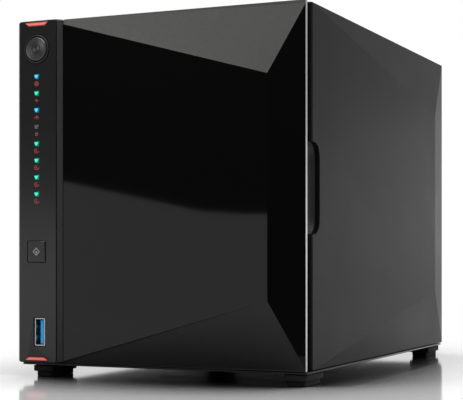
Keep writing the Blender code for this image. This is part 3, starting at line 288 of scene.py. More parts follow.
# %% Grained plastic, one function for every dark moulding
def grained(name, colour, roughness, pitch, depth, uneven=0.12, specular=0.5):
    """Colour = base x (1 +- uneven x slow noise); height = distance field of small cells."""
    finish = Finish(name, colour, roughness, specular=specular)
    slow = finish.noise(38.0, 3.0)
    distance, grey = finish.cells(1.0 / pitch)
    dark, light = scaled(colour, 1 - uneven), scaled(colour, 1 + uneven)
    finish.set("Base Color", finish.mix(slow * 0.6 + grey * 0.4, dark, light))
    finish.set("Roughness", roughness - 0.05 + slow * 0.10)
    finish.bump(distance, depth)
    return finish.material


SIDE_GREY = (0.0075, 0.0072, 0.0070)
COLUMN_GREY = (0.0290, 0.0288, 0.0285)
INNER_GREY = (0.008, 0.008, 0.0085)
shell_plastic = grained("shell_plastic", SIDE_GREY, 0.34, 0.00042, 0.000016, specular=0.022)
column_plastic = grained("column_plastic", COLUMN_GREY, 0.34, 0.00030, 0.000003, uneven=0.06, specular=0.45)
fascia_plastic = grained("fascia_plastic", (0.0135, 0.0135, 0.0137), 0.16, 0.00030, 0.000002, uneven=0.05,
                         specular=0.42)
inner_plastic = grained("inner_plastic", INNER_GREY, 0.60, 0.00060, 0.000015)
fan_plastic = grained("fan_plastic", (0.010, 0.010, 0.011), 0.42, 0.00080, 0.000006)
socket_plastic = grained("socket_plastic", (0.013, 0.013, 0.014), 0.50, 0.00050, 0.000010)
blue_plastic = grained("blue_plastic", (0.008, 0.36, 0.80), 0.30, 0.00050, 0.000006, uneven=0.05)
rubber = grained("rubber", (0.009, 0.009, 0.009), 0.82, 0.00050, 0.000025, uneven=0.25, specular=0.3)


# %% [markdown]
# ## Gloss and satin on the cover
#
# The four facets of the cover are one moulding with two finishes. The two large upright facets are
# polished, and the upper and lower triangles are left satin with a fine metallic sparkle, so they
# catch light from above while the polished ones stay deep black. The upper satin gets a lighter
# colour as painted light and the lower a darker one as painted shade. The rim is given a bright
# metal finish, a painted highlight along the cover's edge.


# %% Polished black and sparkling satin
def polished_black():
    """Deep black with the slight unevenness of a polished moulding."""
    finish = Finish("polished_black", (0.0018, 0.0018, 0.0019), 0.035, specular=0.27)
    finish.set("Roughness", 0.028 + finish.noise(60.0) * 0.014)
    finish.bump(finish.noise(14.0, 1.0), 0.00006, 0.35)
    return finish.material


SATIN_ROUGHNESS = 0.38
FLAKES_PER_METRE = 4200.0


def satin_sparkle(name, colour, sparkle, specular=0.5):
    """Satin plastic with fine metal flakes: each small cell has its own brightness, cubed."""
    finish = Finish(name, colour, SATIN_ROUGHNESS, specular=specular)
    _, grey = finish.cells(FLAKES_PER_METRE)
    slow = finish.noise(30.0, 2.0)
    flakes = grey ** 3.0
    finish.set("Base Color", finish.mix(flakes * 0.8 + slow * 0.2, colour, scaled(colour, sparkle)))
    finish.set("Roughness", SATIN_ROUGHNESS - grey * 0.12)
    finish.set("Metallic", flakes * 0.30)
    finish.bump(grey, 0.000008)
    return finish.material


gloss_black = polished_black()
# The upper satin is a lighter copy, painted light for the facet that faces up; the lower is a darker copy,
# painted shade for the facet that faces down.
upper_satin_painted_light = satin_sparkle("upper_satin_painted_light", (0.054, 0.0535, 0.0520), 2.0)
lower_satin_painted_shade = satin_sparkle("lower_satin_painted_shade", (0.0085, 0.0080, 0.0078), 2.0, specular=0.30)


# %% [markdown]
# ## Metals
#
# The power button is turned on a lathe, so its surface is a set of fine rings about its own middle, and its
# colour carries a painted sheen.
# The sheet metal of the cage and the back is zinc coated, with the faint patchwork of crystals that
# hot zinc leaves. Both are worked out from the place on the surface and need no image.


# %% Turned, sheet, plated and extruded metal
RINGS_PER_METRE = 9000.0


def spun_metal(centre):
    """Rings: noise read along the distance from the button's middle; a painted sheen: the sine of twice the
    angle, two bright sectors mixed into the colour.
    """
    finish = Finish("spun_metal", (0.17, 0.17, 0.172), 0.30, metallic=1.0)
    x, _, z = finish.axes()
    across, up = x - float(centre[0]), z - float(centre[2])
    radius = (across * across + up * up) ** 0.5
    line = finish.node("ShaderNodeTexNoise", {"noise_dimensions": "1D"},
                       {"W": radius, "Scale": RINGS_PER_METRE, "Detail": 2.0})
    rings = Field(finish, line.outputs["Fac"])
    angle = up.angle_over(across)
    # Painted sheen: two bright sectors, where turned metal shows its highlight, are put into the colour.
    painted_sheen_fans = (angle * 2.0 + 0.9).wave() * 0.5 + 0.5
    rings_and_painted_sheen = painted_sheen_fans * painted_sheen_fans * 0.75 + rings * 0.25
    finish.set("Base Color", finish.mix(rings_and_painted_sheen, (0.040, 0.040, 0.041), (0.24, 0.24, 0.245)))
    finish.set("Roughness", rings * 0.22 + 0.22)
    finish.bump(rings, 0.000006)
    return finish.material


def zinc_sheet(name, colour, roughness=0.38):
    """Zinc crystals about 4 mm across, each with its own shade and polish."""
    finish = Finish(name, colour, roughness, metallic=1.0)
    _, grey = finish.cells(240.0)
    fine = finish.noise(900.0, 2.0)
    finish.set("Base Color", finish.mix(grey * 0.7 + fine * 0.3, scaled(colour, 0.82), colour))
    finish.set("Roughness", roughness - 0.06 + grey * 0.14)
    finish.bump(fine, 0.000004)
    return finish.material


LINE_PITCH = 0.00025
LINE_DEPTH = 0.000004


def lined_metal(name, colour, roughness, axis):
    """Fine straight lines along one axis: noise squeezed along the other two."""
    finish = Finish(name, colour, roughness, metallic=1.0)
    squeeze = [1.0 / LINE_PITCH] * 3
    squeeze[axis] = 12.0
    mapped = finish.node("ShaderNodeMapping", None, {"Vector": finish.place, "Scale": squeeze}).outputs[0]
    lines = finish.noise(1.0, 3.0, mapped)
    finish.set("Base Color", finish.mix(lines, scaled(colour, 0.75), colour))
    finish.set("Roughness", roughness - 0.06 + lines * 0.14)
    finish.bump(lines, LINE_DEPTH)
    return finish.material


button_low, button_high = box("power_button")
button_centre = (button_low + button_high) / 2
spun = spun_metal(button_centre)
zinc = zinc_sheet("zinc_sheet", (0.52, 0.53, 0.54))
panel_steel = zinc_sheet("panel_steel", (0.040, 0.040, 0.042), 0.48)
# The cover's rim is given this bright metal finish, a painted highlight for the gleam along its edge.
bright_edge = lined_metal("bright_edge", (0.34, 0.34, 0.35), 0.30, 2)
# The base plate's metal is made nearly black, painted shade for the dark gap under the body.
base_metal_and_painted_shade = lined_metal("base_metal_and_painted_shade", (0.045, 0.045, 0.046), 0.45, 0)
plated = lined_metal("plated", (0.66, 0.67, 0.68), 0.24, 1)
extruded = lined_metal("extruded", (0.62, 0.63, 0.65), 0.36, 2)
gold = lined_metal("gold_contact", (0.85, 0.62, 0.25), 0.25, 1)


# %% [markdown]
# ## Circuit board
#
# A board is glass cloth under a green coating, with copper tracks that lift the coating slightly.
# A drawn layout would need an image. Here the tracks are the crests of two sine waves at right
# angles, and a field of cells picks one or the other, so runs of parallel lines turn and stop.


# %% Coated board
TRACK_PHASE = 3600.0
TRACK_CREST = 0.55


def board_finish():
    """Tracks = crests of a sine along Z or across X and Y, the direction chosen cell by cell."""
    finish = Finish("board_green", (0.012, 0.075, 0.030), 0.32, coat=0.4, coat_roughness=0.15)
    x, y, z = finish.axes()
    _, grey = finish.cells(110.0)
    along = (y * TRACK_PHASE + x * TRACK_PHASE).wave() > TRACK_CREST
    up = (z * TRACK_PHASE).wave() > TRACK_CREST
    turn = grey > 0.5
    tracks = along * turn + up * (1 - turn)
    covered = tracks * (grey * 7.0).wave().ramp(-0.2, 0.1)
    finish.set("Base Color", finish.mix(covered, (0.010, 0.062, 0.026), (0.035, 0.150, 0.062)))
    finish.set("Roughness", 0.38 - covered * 0.10)
    finish.bump(covered, 0.00002)
    return finish.material


board_green = board_finish()

# %% [markdown]
# ## Surfaces worked out with numpy
#
# Every new piece below is one of three things: a turned profile, a stroke that follows a path on a
# flat face, or a plate with a drawn outline. Each is a grid of points found as whole arrays, and one
# function puts any of them into a mesh with its faces pointing outwards.


# %% From arrays to a piece
def outward(mesh, merge=0.0):
    """Joins points closer than `merge`, then turns every face outwards."""
    work = bmesh.new()
    work.from_mesh(mesh)
    if merge:
        bmesh.ops.remove_doubles(work, verts=work.verts, dist=merge)
    bmesh.ops.recalc_face_normals(work, faces=work.faces)
    work.to_mesh(mesh)
    work.free()


def settle(mesh, body):
    """An object for a finished mesh, riding on a body."""
    piece = bpy.data.objects.new(mesh.name, mesh)
    bpy.context.scene.collection.objects.link(piece)
    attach(piece, body)
    print(mesh.name, "with", len(mesh.polygons), "faces on", body)
    return piece


def round_edges(piece, radius, segments, angle):
    """A bevel on every edge that turns by more than `angle` degrees."""
    bevel = piece.modifiers.new("Edges", "BEVEL")
    bevel.width = radius
    bevel.segments = segments
    bevel.limit_method = "ANGLE"
    bevel.angle_limit = math.radians(angle)
    bevel.harden_normals = True


def make_piece(name, points, faces, body, materials, slot, smooth_angle=35.0, attributes=None, zones=None):
    """A piece from points and faces; zones pick one of several materials for each face."""
    mesh = bpy.data.meshes.new(name)
    mesh.from_pydata(np.asarray(points, float).tolist(), [], [list(face) for face in faces])
    for key, values in (attributes or {}).items():
        layer = mesh.attributes.new(key, "FLOAT", "POINT")
        layer.data.foreach_set("value", np.asarray(values, np.float32))
    for material in materials if isinstance(materials, list) else [materials]:
        mesh.materials.append(material)
    if zones is not None:
        mesh.polygons.foreach_set("material_index", np.asarray(zones, np.int32))
    outward(mesh)
    mesh.shade_smooth()
    mesh.set_sharp_from_angle(angle=math.radians(smooth_angle))
    return settle(mesh, body)


# %% Grids, turned profiles and lofts
def grid_faces(rows, columns, wrap=True):
    """Quads of a grid of rows x columns points; wrap joins the last column to the first."""
    row, column = np.meshgrid(np.arange(rows - 1), np.arange(columns if wrap else columns - 1), indexing="ij")
    after = (column + 1) % columns
    quads = np.stack([row * columns + column, row * columns + after,
                      (row + 1) * columns + after, (row + 1) * columns + column], axis=-1)
    return quads.reshape(-1, 4).tolist()


def capped(points, rows, columns):
    """A closed tube of rows x columns points, with its first and last row as end faces."""
    faces = grid_faces(rows, columns)
    faces.append(list(range(columns)))
    faces.append(list(range(len(points) - columns, len(points)))[::-1])
    return points, faces


def turned(profile, centre, count=96, wobble=0.0, teeth=0):
    """A profile of (along Y, radius) pairs turned about a line along Y.

    Point = centre + radius x (cos a, sin a) in XZ; a knurl adds wobble x cos(teeth x a) to the radius.
    """
    profile = np.asarray(profile, float)
    angle = np.linspace(0.0, 2 * np.pi, count, endpoint=False)
    edge = profile[:, 1:2] * np.ones((1, count))
    if teeth:
        widest = profile[:, 1:2] > profile[:, 1].max() * 0.985
        edge = edge + wobble * np.cos(teeth * angle)[None, :] * widest
    points = np.stack([centre[0] + edge * np.cos(angle), profile[:, 0:1] + 0.0 * edge,
                       centre[2] + edge * np.sin(angle)], axis=-1).reshape(-1, 3)
    return capped(points, len(profile), count)


def loft(levels, axis=1):
    """A solid through outlines of equal length: each level is (place along the axis, outline)."""
    rings = [np.insert(np.asarray(outline, float), axis, along, axis=1) for along, outline in levels]
    return capped(np.vstack(rings), len(rings), len(rings[0]))


# %% Strokes along a path
def stroke(path, width, y_front, thick, closed=False):
    """A flat ribbon along a path of (x, z) points, with square ends and a front face at y_front.

    Each point is moved half the width to either side, square to the direction of travel there.
    """
    path = np.asarray(path, float)
    if closed:
        ahead, behind = np.roll(path, -1, 0), np.roll(path, 1, 0)
    else:
        ahead = np.vstack([path[1:], 2 * path[-1] - path[-2]])
        behind = np.vstack([2 * path[0] - path[1], path[:-1]])
    run = ahead - behind
    run /= np.linalg.norm(run, axis=1, keepdims=True)
    side = np.stack([-run[:, 1], run[:, 0]], axis=1) * width / 2
    first = ahead - path
    first /= np.linalg.norm(first, axis=1, keepdims=True)
    corner_stretch = 1.0 / np.clip(np.abs((first * run).sum(1)), 0.5, 1.0)
    side *= corner_stretch[:, None]
    into, out = path + side, path - side
    ring = np.stack([into, out, out, into], axis=1)
    depth = np.array([y_front, y_front, y_front + thick, y_front + thick])
    depth = np.broadcast_to(depth, ring.shape[:2])
    points = np.stack([ring[..., 0], depth, ring[..., 1]], axis=-1).reshape(-1, 3)
    count = len(path)
    if closed:
        faces = grid_faces(count + 1, 4)
        faces = [[index % (count * 4) for index in face] for face in faces]
    else:
        last = count * 4 - 1
        faces = grid_faces(count, 4) + [[0, 1, 2, 3], [last, last - 1, last - 2, last - 3]]
    return points, faces


# %% Arcs, round rectangles and groups of shapes
def gather(shapes):
    """Several shapes as one list of points and faces."""
    points, faces, start = [], [], 0
    for more_points, more_faces in shapes:
        points.append(np.asarray(more_points, float))
        faces += [[index + start for index in face] for face in more_faces]
        start += len(more_points)
    return np.vstack(points), faces


def arc(centre, radius, start, end, count=20):
    """Points round part of a circle, in degrees."""
    angle = np.radians(np.linspace(start, end, count))
    return np.stack([centre[0] + radius * np.cos(angle), centre[1] + radius * np.sin(angle)], axis=1)


def slab(outline, z, half):
    """An outline in X and Y made a solid that is twice `half` high about z."""
    return loft([(z - half, outline), (z + half, outline)], axis=2)


def squircle(centre, half, radius, steps):
    """A rectangle with round corners: four quarter circles joined by straight lines."""
    turns = np.repeat(np.arange(4), steps + 1)
    angle = np.pi / 2 * (turns + np.tile(np.linspace(0, 1, steps + 1), 4))
    sign = np.array([(1, 1), (-1, 1), (-1, -1), (1, -1)])[turns]
    round_part = radius * np.stack([np.cos(angle), np.sin(angle)], 1)
    return np.asarray(centre) + sign * (np.asarray(half) - radius) + round_part


# %% [markdown]
# ## Edges
#
# No real edge is perfectly sharp, and it is the thin highlight along it that shows where a part
# ends. The frame's pieces have exact edges, so each visible one is copied, its triangles are joined
# back into flat faces, and a small bevel rounds what is left.


# %% A softened copy of a piece of the frame
SAME_POINT = 2e-6
FLAT_DEGREES = 0.6


def soften(node, radius, material, segments=2, angle=28.0, crease=None):
    """Copies a piece, joins its doubled points and flat neighbours, and rounds its edges.

    Edges over `angle` degrees are rounded; those over `crease` degrees stay crisp in the shading.
    """
    work = bmesh.new()
    work.from_mesh(frame["nodes"][node].data)
    bmesh.ops.remove_doubles(work, verts=work.verts, dist=SAME_POINT)
    bmesh.ops.dissolve_limit(work, angle_limit=math.radians(FLAT_DEGREES), verts=work.verts, edges=work.edges)
    mesh = bpy.data.meshes.new(node + "_finished")
    work.to_mesh(mesh)
    work.free()
    mesh.materials.append(material)
    mesh.shade_smooth()
    mesh.set_sharp_from_angle(angle=math.radians(crease or angle))
    piece = settle(mesh, body_of_node[node])
    round_edges(piece, radius, segments, angle)
    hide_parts(node)


def dress(node, material):
    """Gives a piece of the frame its finish and keeps its shape."""
    materials = frame["nodes"][node].data.materials
    materials.clear()
    materials.append(material)


# %% [markdown]
# ## The control column
#
# The column is a narrow satin moulding with a fascia let into its front. Down its middle run the
# red accent, the spun power button, eight lamps with a printed sign under each, the copy button and
# the upright socket, with a second accent at the foot.

# %% Column and fascia
soften("control_column", 0.00035, column_plastic)
soften("column_fascia", 0.00012, fascia_plastic, segments=1)
FACE = box("column_fascia")[0][1]
CONTROLS_X = button_centre[0]
INK = 0.00005


# %% [markdown]
# ## Red accents
#
# The two accents are small trapeziums of tinted plastic, pale in the middle and deep at the rim,
# and the middle is given a painted glow, though no lamp is inside.
# The rings of the mesh carry a number that says how near the rim they are, and the finish reads it,
# because a pattern in plain coordinates would not follow slanted ends.

# %% Red accents
def accent_finish():
    """Pale red in the middle and deep red at the rim, read from the piece's own rim attribute; the middle
    also gets a painted glow as emission.
    """
    finish = Finish("red_accent", (0.72, 0.10, 0.08), 0.28, coat=0.6)
    rim = finish.attribute("rim")
    cloud = finish.noise(500.0)
    pale, deep = (0.88, 0.175, 0.150), (0.22, 0.010, 0.010)
    finish.set("Base Color", finish.mix(rim.ramp(0.25, 0.95), pale, deep))
    # Painted glow: the middle of the accent is given emission though no lamp lights it.
    glow, unlit = (0.62, 0.10, 0.085), (0.02, 0.0, 0.0)
    finish.set("Emission Color", finish.mix(rim.ramp(0.1, 0.8), glow, unlit))
    finish.set("Emission Strength", 0.35)
    finish.set("Roughness", 0.24 + cloud * 0.10)
    return finish.material


red_accent = accent_finish()


# %% Accent plates
def accent_plate(node):
    """A trapezium plate: outline rings drawn in from the edge, the rim attribute falling from 1 to 0."""
    low, high = box(node)
    verts = np.array([v.co for v in frame["nodes"][node].data.vertices])
    top_edge = verts[verts[:, 2] > high[2] - 1e-5]
    bottom_edge = verts[verts[:, 2] < low[2] + 1e-5]
    corners = np.array([(bottom_edge[:, 0].min(), low[2]), (bottom_edge[:, 0].max(), low[2]),
                        (top_edge[:, 0].max(), high[2]), (top_edge[:, 0].min(), high[2])])
    share = np.linspace(0, 1, 9)[:-1]
    outline = np.vstack([corners[i] + share[:, None] * (corners[(i + 1) % 4] - corners[i]) for i in range(4)])
    middle = corners.mean(0)

    def drawn_in(amount):
        step = middle - outline
        reach = np.abs(step).clip(1e-9)
        return outline + np.sign(step) * np.minimum(amount, reach * 0.96)

    levels = [(high[1], outline, 1.0), (low[1] + 0.00015, outline, 1.0), (low[1], drawn_in(0.00020), 0.95),
              (low[1], drawn_in(0.00048), 0.45), (low[1] - 0.00004, drawn_in(0.0008), 0.0)]
    points, faces = loft([(y, shape) for y, shape, _ in levels])
    rim = np.repeat([value for _, _, value in levels], len(outline))
    piece = make_piece(node + "_plate", points, faces, body_of_node[node], red_accent, "red_accent",
                       attributes={"rim": rim})
    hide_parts(node)


for strip in ("accent_strip_top", "accent_strip_bottom"):
    accent_plate(strip)

# %% [markdown]
# ## Power button
#
# A button like this is turned and then dished, so that a finger finds it. Its shape is one profile
# swept round its own middle, which costs less than carving it and keeps the rings of the finish
# concentric with the rim.

# %% Power button, turned
RIM_ROUND, RIM_FALL, DISH = 0.0008, 0.0005, 0.00035
button_radius = (button_high[0] - button_low[0]) / 2
face_y = button_low[1]
flat_radius = button_radius - RIM_ROUND
dish = [(face_y + DISH * (1 - s * s), max(s * flat_radius, 0.00002)) for s in np.linspace(0.0, 1.0, 14)]
rim = [(face_y + RIM_FALL * (1 - math.cos(a)), flat_radius + RIM_ROUND * math.sin(a))
       for a in np.radians(np.linspace(0, 90, 6))[1:]]
SKIRT_Y, STEM_RADIUS = face_y + 0.0040, 0.0020
stem = [(SKIRT_Y, button_radius), (SKIRT_Y, STEM_RADIUS), (button_high[1], STEM_RADIUS)]
points, faces = turned(dish + rim + stem, button_centre)
button = make_piece("power_button_turned", points, faces, "power_key", spun, "spun_metal", smooth_angle=50)
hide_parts("power_button")

soften("power_button_ring", 0.00015, inner_plastic)


# %% Printed signs
def ink(name, colour, glow=0.0):
    """Printed ink: nearly flat colour with the slight mottling of screen print; a glow above 0 adds a painted
    glow as emission.
    """
    finish = Finish(name, colour, 0.45)
    mottle = finish.noise(2600.0)
    printed = finish.mix(mottle, scaled(colour, 0.80), colour)
    finish.set("Base Color", printed)
    if glow:
        finish.set("Emission Color", printed)
        finish.set("Emission Strength", glow)
    return finish.material


# The red ink is given a painted glow, so the red signs shine as if lit, though they are print.
red_ink_painted_glow = ink("red_ink_painted_glow", (0.34, 0.050, 0.042), 0.35)
pale_ink = ink("pale_ink", (0.42, 0.42, 0.42))
# Dark ink prints the power sign, and the same dark is painted shade for the screws' cross slots.
dark_ink_and_slot_shade = ink("dark_ink_and_slot_shade", (0.004, 0.004, 0.004))

SYMBOL_LINE, SYMBOL_THICK = 0.00055, 0.0004
symbol_y = face_y + 0.00022
symbol_z = button_centre[2]
ring_gap = arc((CONTROLS_X, symbol_z), 0.0022, 125, 415, 40)
upright = [(CONTROLS_X, symbol_z + 0.0004), (CONTROLS_X, symbol_z + 0.0031)]
power_sign = gather([stroke(path, SYMBOL_LINE, symbol_y, SYMBOL_THICK) for path in (ring_gap, upright)])
make_piece("power_sign", *power_sign, "power_key", dark_ink_and_slot_shade, "spun_metal")

# %% [markdown]
# ## Lamps and their signs
#
# One clear light guide carries the light of eight small lamps to the front. Each prong ends in a
# faceted gem, wide at the top. Blue, green and unlit lamps differ only in colour, so one material
# reads the height on the column and picks the colour for that lamp. The signs are thin solids, not
# pictures on the surface, so they stay crisp however near one looks.

# %% Lamp colours by height
guide_low, guide_high = box("light_guide")
LAMPS = 8
LAMP_PITCH = (guide_high[2] - guide_low[2]) / LAMPS
LAMP_TOP = guide_high[2] - LAMP_PITCH / 2
BLUE_LAMPS = (0, 2)
DARK_LAMP = 3


def lamp_finish():
    """Index = (top lamp's height - z) / pitch; a mask for the blue ones and one for the unlit one.

    The gems carry an attribute that is 1 on their flat tops; the guide itself has none and stays dark.
    """
    finish = Finish("lamp_clear", (0.30, 0.32, 0.33), 0.12, coat=0.8)
    _, _, z = finish.axes()
    index = (float(LAMP_TOP) - z) / float(LAMP_PITCH)
    blue = index.between(BLUE_LAMPS[0] - 0.5, BLUE_LAMPS[0] + 0.5) + index.between(BLUE_LAMPS[1] - 0.5,
                                                                                    BLUE_LAMPS[1] + 0.5)
    dark = index.between(DARK_LAMP - 0.5, DARK_LAMP + 0.5)
    lit_share = finish.attribute("lit")
    green_glow, blue_glow = (0.030, 0.88, 0.52), (0.055, 0.66, 1.0)
    lit = finish.mix(blue, green_glow, blue_glow)
    edge = finish.mix(blue, (0.004, 0.16, 0.10), (0.003, 0.09, 0.24))
    glow = finish.mix(lit_share, edge, lit)
    finish.set("Emission Color", finish.mix(dark, glow, (0.0, 0.0, 0.0)))
    finish.set("Base Color", finish.mix(dark, (0.02, 0.06, 0.06), (0.10, 0.10, 0.10)))
    finish.set("Emission Strength", 1.25)
    return finish.material


lamp_clear = lamp_finish()
dress("light_guide", lamp_clear)


# %% Gems at the ends of the prongs
def gem(x, z, y):
    """A rounded triangle, point down, as three outlines: foot, edge, and a smaller flat top."""
    corner = np.array([(-0.00125, 0.00075), (0.00125, 0.00075), (0.0, -0.00120)])
    outline = []
    for i in range(3):
        before, here, after = corner[i - 1], corner[i], corner[(i + 1) % 3]
        for share in np.linspace(0, 1, 6):
            a = here + (before - here) * 0.30
            b = here + (after - here) * 0.30
            outline.append(a * (1 - share) ** 2 + here * 2 * share * (1 - share) + b * share ** 2)
    outline = np.array(outline)
    centre = np.array([x, z])
    levels = [(y + 0.0003, centre + outline, 0.0), (y - 0.00005, centre + outline, 0.3),
              (y - 0.00020, centre + outline * 0.90, 0.95), (y - 0.00032, centre + outline * 0.62, 1.0)]
    points, faces = loft([(at, shape) for at, shape, _ in levels])
    return points, faces, np.repeat([value for _, _, value in levels], len(outline))


lamp_front = guide_low[1]
gems = [gem(CONTROLS_X, LAMP_TOP - number * LAMP_PITCH, lamp_front) for number in range(LAMPS)]
gem_points, gem_faces = gather([(points, faces) for points, faces, _ in gems])
make_piece("lamp_gems", gem_points, gem_faces, "chassis", lamp_clear, "lamp", smooth_angle=20,
           attributes={"lit": np.concatenate([share for _, _, share in gems])})


# %% Signs under the lamps
SIGN_HALF = 0.00105
SIGN_LINE = 0.00026


def sign_strokes(kind, x, z):
    """One small sign as strokes, drawn in shares of SIGN_HALF about its own middle."""
    front = FACE - INK

    def line(*corners):
        return stroke([(x + a * SIGN_HALF, z + b * SIGN_HALF) for a, b in corners], SIGN_LINE, front, INK * 2)

    def circle(cx, cz, radius, start=0, end=360, count=22):
        path = arc((x + cx * SIGN_HALF, z + cz * SIGN_HALF), radius * SIGN_HALF, start, end, count)
        whole = end - start >= 360
        return stroke(path[:-1] if whole else path, SIGN_LINE, front, INK * 2, closed=whole)

    if kind == "on":
        return [circle(0, 0, 1.0), line((0, -0.1), (0, 0.6)), circle(0, 0, 0.5, 130, 410, 14)]
    if kind == "pulse":
        return [line((-1.1, 0), (-0.5, 0), (-0.2, 0.8), (0.25, -0.8), (0.55, 0), (1.1, 0))]
    if kind == "network":
        return [line((0, 0.15), (0, 0.9)), line((-0.9, -0.8), (-0.9, 0.1), (0.9, 0.1), (0.9, -0.8)),
                line((0, 0.1), (0, -0.8))]
    if kind == "plug":
        return [line((-0.6, 0.3), (0.6, 0.3), (0.6, -0.5), (-0.6, -0.5), (-0.6, 0.35)),
                line((-0.3, 0.3), (-0.3, 0.9)), line((0.3, 0.3), (0.3, 0.9)), line((0, -0.5), (0, -1.0))]
    return [circle(-0.1, 0, 0.95, 60, 345), circle(-0.1, 0, 0.22)]


KINDS = ("on", "pulse", "network", "plug", "disk", "disk", "disk", "disk")
SIGN_DROP = 0.0034
signs = []
for number, kind in enumerate(KINDS):
    signs += sign_strokes(kind, CONTROLS_X, LAMP_TOP - number * LAMP_PITCH - SIGN_DROP)
make_piece("lamp_signs", *gather(signs), "chassis", red_ink_painted_glow, "red_accent")


# %% Digits
def lettering(name, text, size, place, body, material):
    """A plain digit as a thin solid on a face that looks towards -Y: its own up becomes +Z."""
    curve = bpy.data.curves.new(name, "FONT")
    curve.body = text
    curve.size = size
    curve.extrude = INK
    curve.resolution_u = 3
    curve.align_x = "CENTER"
    curve.align_y = "CENTER"
    letters = bpy.data.objects.new(name + "_text", curve)
    bpy.context.scene.collection.objects.link(letters)
    bpy.context.view_layer.update()
    mesh = bpy.data.meshes.new_from_object(letters.evaluated_get(bpy.context.evaluated_depsgraph_get()))
    bpy.data.objects.remove(letters)
    flat = np.zeros(len(mesh.vertices) * 3)
    mesh.vertices.foreach_get("co", flat)
    flat = flat.reshape(-1, 3)
    upright = np.stack([flat[:, 0], -flat[:, 2], flat[:, 1]], 1) + np.asarray(place)
    mesh.vertices.foreach_set("co", upright.ravel())
    mesh.name = name
    mesh.materials.clear()
    mesh.materials.append(material)
    outward(mesh, merge=1e-7)
    settle(mesh, body)


DIGIT = 0.0013
for number in range(4):
    below = LAMP_TOP - (number + 4) * LAMP_PITCH - SIGN_DROP
    lettering(f"disk_number_{number + 1}", str(number + 1), DIGIT,
              (CONTROLS_X + 0.00125, FACE - INK, below - 0.0005), "chassis", red_ink_painted_glow)

# %% Copy button and its sign
key_low, key_high = box("copy_button")
key_centre = (key_low + key_high) / 2
soften("copy_button", 0.00025, fascia_plastic)
key_face = key_low[1] - INK
kx, kz = key_centre[0], key_centre[2]
COPY_LINE, COPY_HALF = 0.00030, 0.0017
diamond = [(kx, kz + COPY_HALF), (kx + COPY_HALF, kz), (kx, kz - COPY_HALF), (kx - COPY_HALF, kz)]
shaft = [(kx, kz + 0.0005), (kx, kz - 0.0006)]
arrow_head = [(kx - 0.0005, kz - 0.0001), (kx, kz - 0.0006), (kx + 0.0005, kz - 0.0001)]
copy_sign = gather([stroke(path, COPY_LINE, key_face, INK * 2, closed=path is diamond)
                    for path in (diamond, shaft, arrow_head)])
make_piece("copy_sign", *copy_sign, "copy_key", pale_ink, "column_plastic")

# %% [markdown]
# ## The upright socket
#
# A metal sleeve with folded spring tabs surrounds a blue tongue with its contacts. The tabs are what
# catches the light in the dark mouth.

# %% Socket sleeve, tongue, springs and contacts
soften("front_usb_shell", 0.00012, plated, segments=1)
soften("front_usb_tongue", 0.00020, blue_plastic)
sleeve_low, sleeve_high = box("front_usb_shell")
tongue_low, tongue_high = box("front_usb_tongue")
WALL = 0.0005
spring_shapes = []
for z in (0.3, 0.7):
    at = sleeve_low[2] + (sleeve_high[2] - sleeve_low[2]) * z
    bow = np.linspace(0, 1, 9)
    x = sleeve_low[0] + WALL + 0.00055 * np.sin(np.pi * bow) + 0.00005
    y = sleeve_low[1] + 0.0006 + 0.0050 * bow
    outline = np.vstack([np.stack([x, y], 1), np.stack([x[::-1] + 0.00018, y[::-1]], 1)])
    spring_shapes.append(slab(outline, at, 0.0011))
make_piece("front_socket_springs", *gather(spring_shapes), "chassis", plated, "steel")

# %% Contacts on the tongue
contact_shapes = []
for share in np.linspace(0.18, 0.82, 4):
    at = tongue_low[2] + (tongue_high[2] - tongue_low[2]) * share
    x = tongue_low[0] - 0.00010
    end = tongue_high[1] - 0.001
    outline = [(x, tongue_low[1] + 0.0005), (x + 0.0002, tongue_low[1] + 0.0003), (x + 0.0002, end), (x, end)]
    contact_shapes.append(slab(outline, at, 0.0005))
make_piece("front_socket_contacts", *gather(contact_shapes), "chassis", gold, "steel")

# %% [markdown]
# ## The faceted cover
#
# The cover's front is four flat facets that meet in a short upright ridge near its right edge. A
# moulding like this is modelled as exact flats with a very fine bevel between them. The finish
# changes from facet to facet, so each polygon names its own material.

# %% Corners of the facets, read from the frame
cover_low, cover_high = box("front_cover")
cover_verts = np.array([v.co for v in frame["nodes"]["front_cover"].data.vertices])
ridge = cover_verts[cover_verts[:, 1] < cover_low[1] + 2e-4]
RIDGE_X = ridge[:, 0].mean()
RIDGE_LOW, RIDGE_HIGH = ridge[:, 2].min(), ridge[:, 2].max()
RIM_Y = cover_high[1] - 0.0020
LEFT_Y = RIM_Y - 0.0008
print("ridge, mm: x, low z, high z", np.round(np.array([RIDGE_X, RIDGE_LOW, RIDGE_HIGH]) * 1000, 1))


def cover_points(edge, back):
    """The 14 corners: 4 at the back, 4 at the rim, 2 on the ridge, 4 where facets meet the rim.

    `edge` draws the outline in and `back` moves the front towards the back, for the inner skin.
    """
    x0, x1 = cover_low[0] + edge, cover_high[0] - edge
    z0, z1 = cover_low[2] + edge, cover_high[2] - edge
    rim_y = RIM_Y + back
    rear_y = cover_high[1]
    corners = [(x0, z0), (x1, z0), (x1, z1), (x0, z1)]
    points = [(x, rear_y, z) for x, z in corners] + [(x, rim_y, z) for x, z in corners]
    points += [(RIDGE_X, cover_low[1] + back, RIDGE_HIGH), (RIDGE_X, cover_low[1] + back, RIDGE_LOW)]
    points += [(x0, LEFT_Y + back, z1 - 0.0024), (x0, LEFT_Y + back, z0 + 0.0010),
               (x1, rim_y, z1 - 0.0016), (x1, rim_y, z0 + 0.0006)]
    return points


